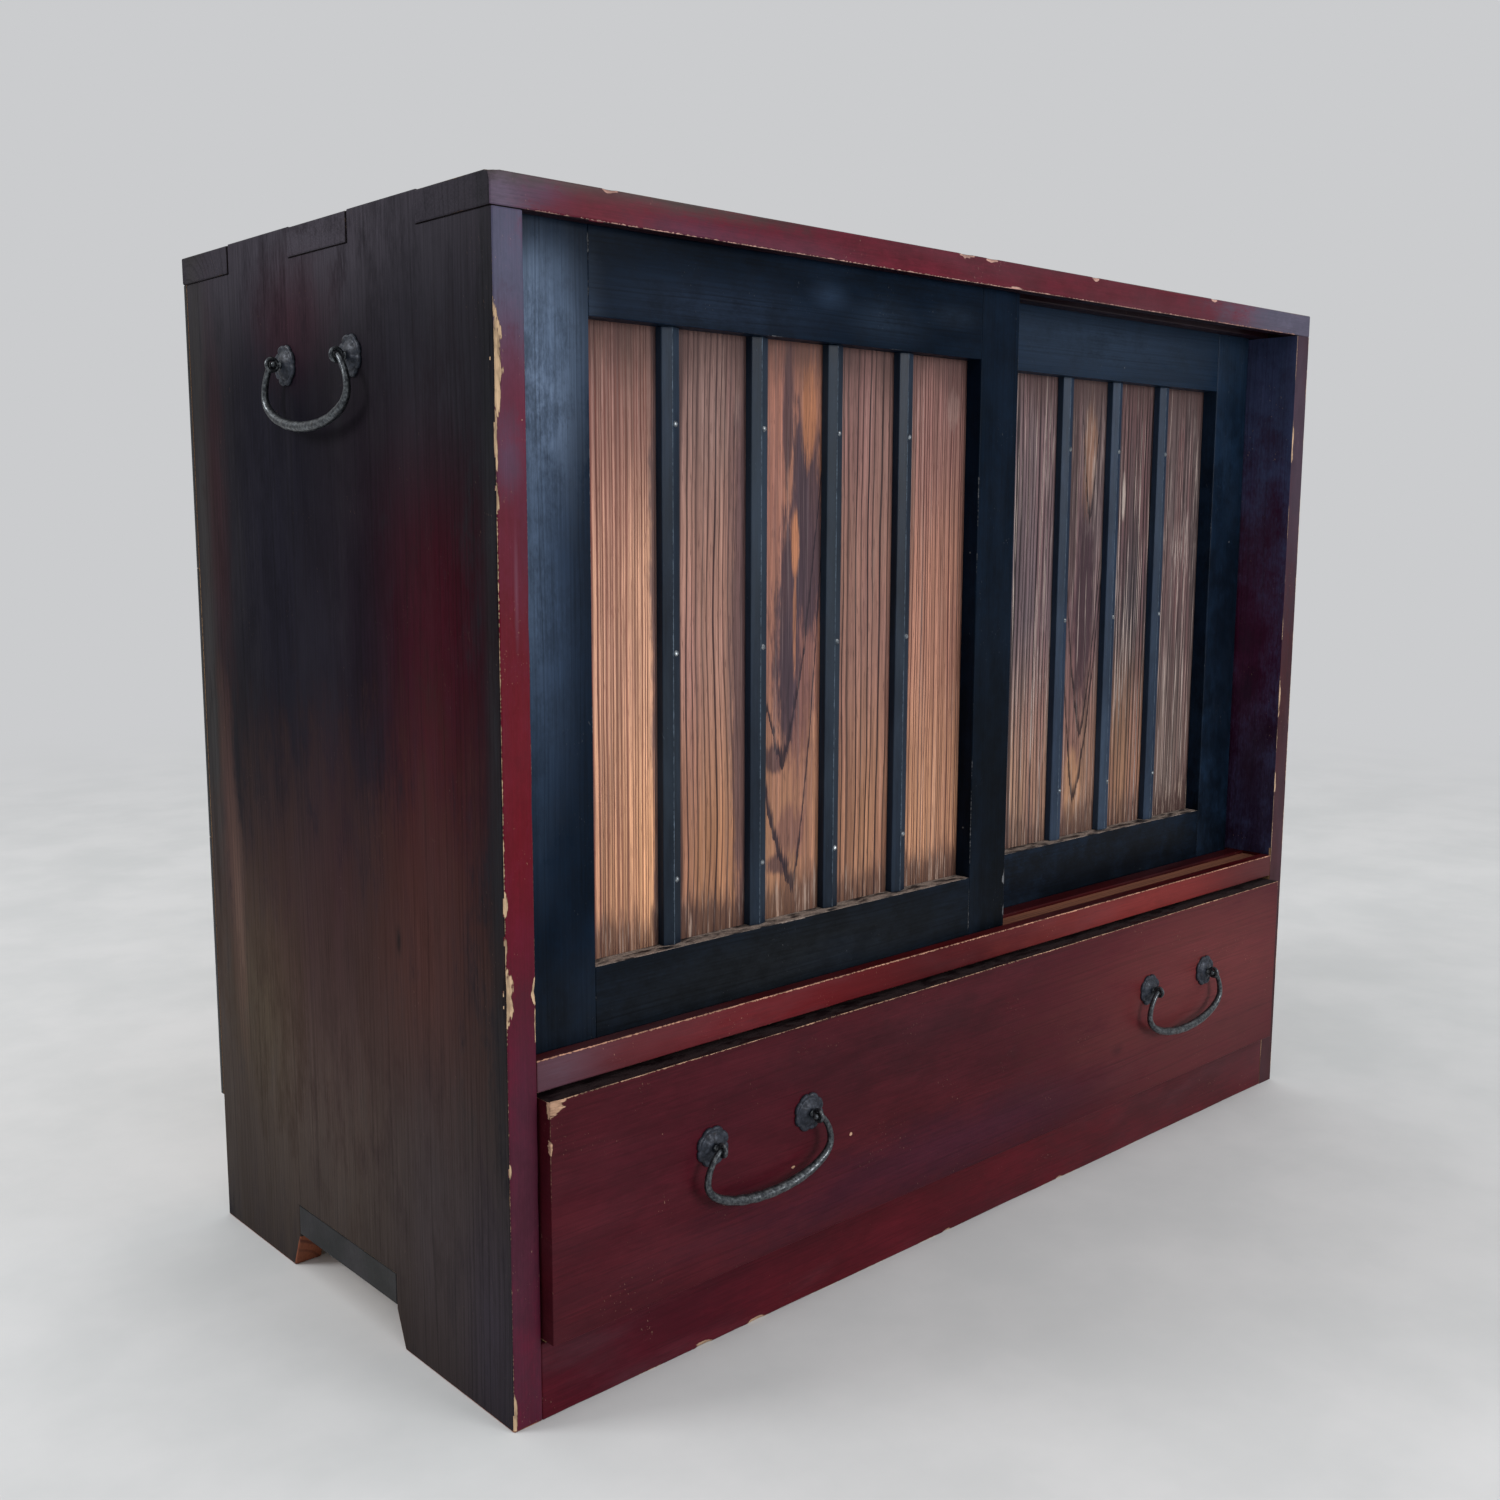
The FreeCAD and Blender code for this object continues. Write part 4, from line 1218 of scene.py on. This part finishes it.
# %% Door boards
door_boards = {
    "front_door": (
        (((138, 108, 98), (210, 160, 132), (212, 158, 120)), (100, 54, 46),
         3.0, 0.30, 0.02, 0.0, 0.004, 0.95, 0.50, 0.7, 0.08, edge_marks, ()),
        (((132, 104, 98), (162, 122, 108), (168, 120, 90)), (48, 28, 32),
         5.2, 0.13, 0.03, 0.0, 0.020, 1.0, 0.34, 0.8, 0.10, right_dark, ()),
        (((162, 112, 92), (164, 114, 94), (172, 126, 92)), (44, 34, 42),
         6.0, 0.13, 0.03, 0.0, 0.016, 0.35, 0.4, 0.7, 0.10, flame_marks, flame_veins),
        (((130, 98, 92), (146, 108, 96), (158, 114, 88)), (40, 26, 30),
         6.6, 0.10, 0.03, 0.0, 0.016, 1.0, 0.34, 0.7, 0.10, (), ()),
        (((132, 100, 92), (162, 116, 98), (180, 132, 102)), (80, 44, 42),
         3.4, 0.24, 0.02, 0.0, 0.008, 0.95, 0.42, 0.8, 0.15, pale_spot, ()),
    ),
    "rear_door": (
        (((118, 98, 94), (126, 106, 100), (156, 130, 112)), (54, 40, 44),
         3.4, 0.2, 0.03, 0.0, 0.009, 0.9, 0.45, 0.8, 0.6, (), ()),
        (((112, 95, 98), (102, 88, 93), (156, 122, 102)), (28, 18, 24),
         5.0, 0.13, 0.03, 0.0, 0.010, 1.0, 0.50, 0.6, 0.8, (), ()),
        (((98, 82, 82), (90, 76, 80), (144, 110, 92)), (26, 18, 24),
         5.0, 0.14, 0.03, 0.0, 0.014, 0.6, 0.36, 0.7, 0.5, rear_flame_marks, rear_flame_veins),
        (((76, 66, 68), (74, 65, 69), (142, 106, 84)), (20, 13, 17),
         5.6, 0.11, 0.03, 0.0, 0.010, 1.0, 0.50, 0.6, 0.8, white_spot, ()),
        (((84, 72, 72), (88, 75, 75), (106, 90, 84)), (34, 25, 30),
         5.0, 0.16, 0.03, 0.02, 0.012, 0.8, 0.45, 0.9, 0.75, (), ()),
    ),
}
for door, rows in door_boards.items():
    foot_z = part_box(door + "_bottom_rail")[1].z
    for index, row in enumerate(rows, start=1):
        shades, dark, ring, *rest, marked, veins = row
        shades = [rgb(*shade) for shade in shades]
        node = f"{door}_board_{index}"
        coat = weathered(node + "_wood", shades, rgb(*dark), ring * MM, *rest, foot_z, marked, veins)
        board(node, door, [(anywhere, coat)], 2, arris=0.4, step=30.0, knock=0.0)
print("dressed boards so far:", board_count)

# %% [markdown]
# ## The drawer
# The front is one long red board. Its top left corner has lost a triangle of
# lacquer, and its upper arris shines pale from end to end. The box behind is
# plain softwood. The front's top face, in the gap under the sill, is dust
# written near-black as painted shade.

# %% Drawer
drawer_low, drawer_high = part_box("drawer_front")
drawer_y, drawer_x, drawer_top = drawer_low.y, drawer_high.x, drawer_high.z
drawer_chips = [
    ((-drawer_x, drawer_y, drawer_top), (0.0120, 0.004, 0.0110), 1.4 * MM),
    ((-drawer_x, drawer_y, 0.196), (0.0016, 0.003, 0.005), 0.3 * MM),
    ((-0.338, drawer_y, 0.1605), (0.0014, 0.002, 0.0018), 0.0),
    ((-0.182, drawer_y, 0.127), (0.0014, 0.002, 0.0016), 0.0),
    ((-0.245, drawer_y, 0.118), (0.0018, 0.002, 0.0012), 0.0),
]
knot_shade = (52, 18, 24)
drawer_stains = marks_on(1, drawer_y, 0.03, (
    ((66, 16, 28), (-0.36, 0.16), (0.13, 0.07), 0.5),
    ((56, 22, 40), (-0.06, 0.085), (0.20, 0.022), 0.55),
    ((50, 16, 24), (-0.14, 0.190), (0.10, 0.020), 0.45),
    ((106, 48, 48), (0.34, 0.15), (0.18, 0.08), 0.65),
    ((72, 30, 34), (0.36, 0.09), (0.12, 0.03), 0.35),
))
drawer_knots = marks_on(1, drawer_y, 0.01, (
    (knot_shade, (0.021, 0.1466), (0.008, 0.005), 0.55),
    (knot_shade, (0.180, 0.1088), (0.007, 0.004), 0.55),
    ((58, 18, 26), (0.10, 0.097), (0.7, 0.0005), 0.5),
))
drawer_rub = (("Z", 0.06, 0.20, 0.0, 0.4), ("Z", 0.216, 0.223, 1.0, 2.4))
drawer_coat = lacquer(
    "drawer_lacquer", (rgb(56, 13, 22), rgb(68, 18, 26)), 0.6, drawer_stains + drawer_knots, drawer_chips,
    band=0.0007, run=1.15, rub=drawer_rub, bloom=(rgb(88, 52, 60), 0.12), bare=rgb(190, 152, 126),
    streaks=0.15, specks=0.6,
)
# The top face lies in the gap under the sill: dust written near-black as painted shade.
drawer_top_shade_coat = dusty("dusty_drawer_top_painted_shade", rgb(22, 12, 15), rgb(42, 28, 30))
edge_chips = drawer_chips[:2]
drawer_coats = [
    (facing(1, -1, -1.0, drawer_y + edge_depth, along=1), drawer_coat),
    (facing(2, 1, 0.22, 0.3, along=2), drawer_top_shade_coat),
    (facing(1, 1), carcass_wood),
    (anywhere, drawer_coat),
]
board("drawer_front", "drawer", drawer_coats, 0, step=25.0, chips=edge_chips)
drawer_box = {"drawer_back": 0, "drawer_bottom": 0, "drawer_left_wall": 1, "drawer_right_wall": 1}
for name, along in drawer_box.items():
    board(name, "drawer", [(anywhere, carcass_wood)], along, arris=0.5, step=60.0)
print("dressed boards in all:", board_count)

# %% [markdown]
# ## The iron
# Handles and nails are wrought iron, blackened and rubbed. The plates stay a
# dull slate, while the bails and the eyes are handled and catch the light.
# The hammer marks are Voronoi facets, and the high spots of a fine noise are
# polished.

# %% Iron
def iron_finish(name, dark, worn, roughness, metallic, beaten):
    finish, tree, shader = new_finish(name)
    place = object_place(tree)
    facets = {"Vector": place, "Scale": 190.0}
    hammered = put(tree, "ShaderNodeTexVoronoi", facets, {"feature": "SMOOTH_F1"})
    scale = cloud(tree, place, (420.0, 420.0, 420.0), 4.0, 0.6)
    colour = tint(tree, ease(tree, scale, 0.35, 0.75), dark, worn)
    rust = ease(tree, cloud(tree, place, (150.0, 150.0, 150.0), 3.0), 0.60, 0.75, 0.0, 0.4)
    colour = tint(tree, rust, colour, rgb(58, 46, 42))
    rough = ease(tree, scale, 0.3, 0.7, roughness + 0.1, roughness - 0.08)
    height = plus(tree, times(tree, hammered, beaten), times(tree, scale, 0.15))
    close_finish(tree, shader, colour, rough, height, 0.00025, 0.4)
    shader.inputs["Metallic"].default_value = metallic
    return finish


bail_iron = iron_finish("bail_iron", rgb(46, 49, 54), rgb(104, 109, 112), 0.36, 0.8, 0.3)
plate_iron = iron_finish("plate_iron", rgb(22, 27, 37), rgb(50, 56, 68), 0.5, 0.3, 0.4)
nail_iron = iron_finish("nail_iron", rgb(70, 78, 86), rgb(160, 166, 170), 0.3, 0.6, 0.4)
print("iron finishes:", bail_iron.name, plate_iron.name, nail_iron.name)

# %% [markdown]
# ## A handle, part by part
# Each handle is modelled once in its own small frame: the hinge runs along X,
# the face of the board is the plane Y = 0 and -Y points outwards. A matrix
# then puts it on the drawer or a side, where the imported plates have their
# middle. The lobed plate is a profile spun round the post, then pulled in
# between its eight lobes, which rise a little at the rim. The profile is in
# millimetres: the radius, and the height off the board.

# %% Handle sizes and places
post_spacing, standoff = 97 * MM, 11 * MM


def middle_of(node):
    low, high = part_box(node)
    return [round(v, 4) for v in (low + high) / 2]


_, _, handle_z = middle_of("right_handle_plates")
pull_x, _, pull_z = middle_of("drawer_right_pull_plates")


def place_on(x, y, z, degrees):
    """A matrix that stands a handle on a face, turned about the vertical."""
    return Matrix.Translation((x, y, z)) @ Matrix.Rotation(math.radians(degrees), 4, "Z")


handles = {
    "left_handle": (place_on(-side_x, 0, handle_z, -90), "carcass", "left_carry_bail", 23 * MM),
    "right_handle": (place_on(side_x, 0, handle_z, 90), "carcass", "right_carry_bail", 23 * MM),
    "drawer_left_pull": (place_on(-pull_x, drawer_y, pull_z, 0), "drawer", "drawer_left_bail", 22 * MM),
    "drawer_right_pull": (place_on(pull_x, drawer_y, pull_z, 0), "drawer", "drawer_right_bail", 22 * MM),
}
print("handles:", list(handles))

# %% Lobed plate
lobes, plate_rim, lobe_depth = 8, 15.0, 0.107
plate_profile = (
    (2.3, 0.0), (2.3, 4.9), (4.5, 4.6), (7.6, 3.9), (10.2, 2.3),
    (11.2, 1.3), (12.8, 2.2), (14.3, 1.9), (plate_rim, 0.9), (plate_rim, 0.0),
)


def add_plate(bm, x):
    """One plate round a post at x: a spun profile with its rim drawn into lobes."""
    known = set(bm.verts)
    fresh = [bm.verts.new((r * MM, -h * MM, 0)) for r, h in plate_profile]
    ring = [bm.edges.new((a, b)) for a, b in zip(fresh, fresh[1:] + fresh[:1])]
    bmesh.ops.spin(
        bm, geom=fresh + ring, cent=origin, axis=(0, 1, 0), angle=math.tau, steps=lobes * 8, use_merge=True,
    )
    plate = [v for v in bm.verts if v not in known]
    for v in plate:
        angle = math.atan2(v.co.z, v.co.x)
        far = (math.hypot(v.co.x, v.co.z) / (plate_rim * MM)) ** 3
        petal = abs(math.sin(angle * lobes / 2)) ** 0.55
        pull = 1 - lobe_depth * far * (1 - petal)
        lump = noise.noise(Vector((v.co.x, x, v.co.z)) * 260.0)
        v.co.x, v.co.z = v.co.x * pull, v.co.z * pull
        if v.co.y < -0.1 * MM:
            v.co.y -= (0.9 * far * (petal - 0.4) + 0.35 * lump) * MM
    bmesh.ops.translate(bm, verts=plate, vec=(x, 0, 0))


def fix_iron(name, bm, matrix, body, iron, node):
    """Put a handle's part in its place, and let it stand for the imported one."""
    bmesh.ops.transform(bm, matrix=matrix, verts=bm.verts)
    return finish_piece(name, bm, body, [(anywhere, iron)], node, smooth=True)


for name, (matrix, body, _, _) in handles.items():
    bm = bmesh.new()
    for side_sign in (-1, 1):
        add_plate(bm, side_sign * post_spacing / 2)
    plate = fix_iron(name + "_plate_pair", bm, matrix, body, plate_iron, name + "_plates")
print("plate faces:", len(plate.data.polygons))

# %% [markdown]
# The post is a split pin: an eye outside, a shank through the board, and two
# legs hammered flat behind it. The eye is a small circle spun round the
# hinge line, the shank a straight pin, and the legs a flattened cube.

# %% Eye posts
wire, eye, shank_radius = 1.6 * MM, 4.15 * MM, 2.2 * MM
leg_size = (14 * MM, 1.4 * MM, 3 * MM, 1)


def add_post(bm, x, board_thick):
    """One split pin at x: its eye, its shank and its clinched legs."""
    centre = Vector((x, -standoff, 0))
    seat = Matrix.Translation(centre + Vector((0, -eye, 0))) @ Matrix.Rotation(math.pi, 4, "X")
    ring = bmesh.ops.create_circle(bm, segments=12, radius=wire, matrix=seat)
    edges = list({e for v in ring["verts"] for e in v.link_edges})
    bmesh.ops.spin(
        bm, geom=ring["verts"] + edges, cent=centre, axis=(1, 0, 0), angle=math.tau, steps=24,
        use_merge=True,
    )
    length = board_thick + standoff - eye
    shank = Matrix.Translation((x, (board_thick - standoff + eye) / 2, 0))
    shank = shank @ Matrix.Rotation(math.pi / 2, 4, "X")
    bmesh.ops.create_cone(
        bm, cap_ends=True, segments=12, radius1=shank_radius, radius2=shank_radius, depth=length,
        matrix=shank,
    )
    legs = Matrix.Translation((x, board_thick + leg_size[1] / 2, 0)) @ Matrix.Diagonal(leg_size)
    bmesh.ops.create_cube(bm, size=1.0, matrix=legs)


for name, (matrix, body, _, board_thick) in handles.items():
    bm = bmesh.new()
    for side_sign in (-1, 1):
        add_post(bm, side_sign * post_spacing / 2, board_thick)
    post = fix_iron(name + "_eye_posts", bm, matrix, body, bail_iron, name + "_posts")
print("post faces:", len(post.data.polygons))

# %% [markdown]
# The bail is drawn out of a bar: thin at the eyes and thick in the middle,
# where the smith cut a few shallow notches and left the bar a little square.
# An eight-sided ring is extruded from station to station. Each station has
# a matrix with the bar's direction, and its scale gives thickness, hammer
# marks and notches.

# %% Bail
half_width, widest_drop, drop, shoulder = 62 * MM, 22 * MM, 46 * MM, 2 * MM
end_radius, mid_radius, pin_reach = 2.5 * MM, 4.3 * MM, 5 * MM
notches, notch_reach = (0.36, 0.42, 0.47, 0.53, 0.58, 0.64), 0.008
bar_steps, bar_sides, pin_step = 90, 8, 3 * MM


def bail_point(share):
    """A point of the bar's centre line, from one elbow (0) to the other (1)."""
    end_x = post_spacing / 2 + shoulder
    rise = widest_drop / math.sqrt(1 - (end_x / half_width) ** 2)
    end_angle = math.acos(end_x / half_width)
    angle = end_angle - share * (math.pi + 2 * end_angle)
    lift = rise if math.sin(angle) > 0 else drop - widest_drop
    return Vector((half_width * math.cos(angle), -standoff, -widest_drop + lift * math.sin(angle)))


def bail_stations(count):
    """Matrices along the bar, pins included, with the radius as their scale."""
    tip = post_spacing / 2 - pin_reach
    line = [Vector((tip, -standoff, 0)), Vector((tip + pin_step, -standoff, 0))]
    line += [bail_point(i / count) for i in range(count + 1)]
    line += [Vector((-tip - pin_step, -standoff, 0)), Vector((-tip, -standoff, 0))]
    stations = []
    for index, point in enumerate(line):
        before = line[max(index - 1, 0)]
        after = line[min(index + 1, len(line) - 1)]
        along = (after - before).normalized()
        out = Vector((0, -1, 0))
        across = along.cross(out)
        share = min(max((index - 2) / count, 0), 1)
        swell = math.sin(math.pi * share) ** 2
        radius = end_radius + (mid_radius - end_radius) * swell
        notch = max(math.exp(-((share - n) / notch_reach) ** 2) for n in notches)
        twist = Matrix.Rotation(math.radians(22.5 + 60 * share), 4, "Z")
        turn = Matrix((across, out, along)).transposed().to_4x4()
        beat = 1 + 0.12 * swell * noise.noise(point * 190.0) - 0.13 * notch
        flat = 1 + 0.10 * swell * noise.noise(point * 150.0 + Vector((3, 5, 7))) - 0.08 * notch
        size = Matrix.Diagonal((radius * beat, radius * flat, radius, 1))
        stations.append(Matrix.Translation(point) @ turn @ twist @ size)
    return stations


def forge_bar(bm, stations):
    """Extrude a ring from station to station."""
    bmesh.ops.create_circle(bm, cap_ends=True, segments=bar_sides, radius=1.0, matrix=stations[0])
    edges = list(bm.edges)
    for before, after in zip(stations, stations[1:]):
        grown = bmesh.ops.extrude_edge_only(bm, edges=edges)["geom"]
        ring = [g for g in grown if isinstance(g, bmesh.types.BMVert)]
        fresh = set(ring)
        edges = [g for g in grown if isinstance(g, bmesh.types.BMEdge) and set(g.verts) <= fresh]
        bmesh.ops.transform(bm, matrix=after @ before.inverted(), verts=ring)
    bmesh.ops.contextual_create(bm, geom=edges)


for name, (matrix, _, body, _) in handles.items():
    bm = bmesh.new()
    forge_bar(bm, bail_stations(bar_steps))
    bail = fix_iron(name + "_bar", bm, matrix, body, bail_iron, name + "_bail")
    rounding = bail.modifiers.new("rounding", "SUBSURF")
    rounding.levels = rounding.render_levels = 1
print("bail faces before rounding:", len(bail.data.polygons))

# %% [markdown]
# ## The nails
# Three nails hold each batten, set in its right-hand slope. A head is a small
# sphere, flattened and beaten uneven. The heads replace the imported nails,
# whose shanks are out of sight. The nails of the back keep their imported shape.

# %% Batten nails
nail_shares = (0.15, 0.515, 0.89)
nail_across, head, head_lift = 0.17, 2.3 * MM, 1.1 * MM
for door in ("front_door", "rear_door"):
    bm = bmesh.new()
    batten_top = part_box(door + "_batten_1")[1].z
    for index in range(1, 5):
        low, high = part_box(f"{door}_batten_{index}")
        x = (low.x + high.x) / 2 + nail_across * (high.x - low.x)
        for share in nail_shares:
            z = batten_top - share * (high.z - low.z)
            seat = Matrix.Translation((x, low.y + head_lift, z))
            seat = seat @ Matrix.Diagonal((head, head * 0.75, head, 1))
            verts = bmesh.ops.create_icosphere(bm, subdivisions=2, radius=1.0, matrix=seat)["verts"]
            for v in verts:
                v.co += Vector((0, 0.35 * MM, 0)) * noise.noise(v.co * 700.0)
    finish_piece(door + "_nail_heads", bm, door, [(anywhere, nail_iron)], door + "_nails")
back_nail_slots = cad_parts["back_nails"].data.materials
back_nail_slots.clear()
back_nail_slots.append(nail_iron)
print("nail rows at", nail_shares)

# %% [markdown]
# ## Floor, sky and lamps
# The chest stands on a plain pale floor that fades, away from the chest, into
# the pale grey of the background. Where the camera sees that grey, it stays
# the same whatever the lamps do. The light is soft: a sky that is brighter
# overhead, a large lamp in front that lights the doors and the drawer, and a
# smaller one behind the left side.

# %% Floor
backdrop = rgb(203, 204, 206)
floor_radius, fade_start, fade_end = 7.0, 1.6, 3.6
bm = bmesh.new()
bmesh.ops.create_circle(bm, cap_ends=True, segments=96, radius=floor_radius)
floor_mesh = bpy.data.meshes.new("floor")
bm.to_mesh(floor_mesh)
bm.free()
floor = bpy.data.objects.new("floor", floor_mesh)
bpy.context.scene.collection.objects.link(floor)

floor_finish, tree, shader = new_finish("floor_paint")
place = object_place(tree)
seen = put(tree, "ShaderNodeLightPath", {}, out="Is Camera Ray")
from_chest = vector_calc(tree, "LENGTH", place, out="Value")
far = times(tree, seen, ease(tree, from_chest, fade_start, fade_end))
mottle = ease(tree, cloud(tree, place, (5.0, 5.0, 5.0), 5.0, 0.6), 0.3, 0.7, 0.0, 1.0)
feed(tree, tint(tree, mottle, rgb(206, 208, 209), rgb(216, 217, 218)), shader.inputs["Base Color"])
shader.inputs["Roughness"].default_value = 0.7
shader.inputs["Specular IOR Level"].default_value = 0.2
glow = put(tree, "ShaderNodeEmission", {"Color": backdrop, "Strength": 1.0})
paint = put(tree, "ShaderNodeMixShader", {0: far, 1: shader.outputs[0], 2: glow})
tree.links.new(paint, tree.nodes["Material Output"].inputs["Surface"])
floor_mesh.materials.append(floor_finish)
print("floor radius in metres:", floor_radius)

# %% Sky and lamps
world = bpy.data.worlds.new("sky")
bpy.context.scene.world = world
world.use_nodes = True
tree = world.node_tree
tree.nodes.clear()
seen = put(tree, "ShaderNodeLightPath", {}, out="Is Camera Ray")
way = put(tree, "ShaderNodeTexCoord", {}, out="Generated")
up = put(tree, "ShaderNodeSeparateXYZ", {0: way}).node.outputs["Z"]
brightness = ease(tree, up, 0.0, 0.9, 0.42, 0.9)
sky = put(tree, "ShaderNodeBackground", {"Color": (1.0, 1.0, 1.0, 1.0), "Strength": brightness})
plain = put(tree, "ShaderNodeBackground", {"Color": backdrop, "Strength": 1.0})
both = put(tree, "ShaderNodeMixShader", {0: seen, 1: sky, 2: plain})
tree.links.new(both, tree.nodes.new("ShaderNodeOutputWorld").inputs["Surface"])


def add_lamp(name, place, target, size, power):
    data = bpy.data.lights.new(name, "AREA")
    data.shape = "RECTANGLE"
    data.size, data.size_y = size
    data.energy = power
    lamp = bpy.data.objects.new(name, data)
    lamp.location = place
    lamp.rotation_euler = (Vector(target) - Vector(place)).to_track_quat("-Z", "Y").to_euler()
    bpy.context.scene.collection.objects.link(lamp)
    return lamp


add_lamp("front_lamp", (0.7, -3.2, 1.1), (0, 0, 0.4), (1.4, 1.1), 52.0)
add_lamp("side_lamp", (-2.6, 1.2, 2.0), (-0.4, 0, 0.4), (1.0, 1.0), 38.0)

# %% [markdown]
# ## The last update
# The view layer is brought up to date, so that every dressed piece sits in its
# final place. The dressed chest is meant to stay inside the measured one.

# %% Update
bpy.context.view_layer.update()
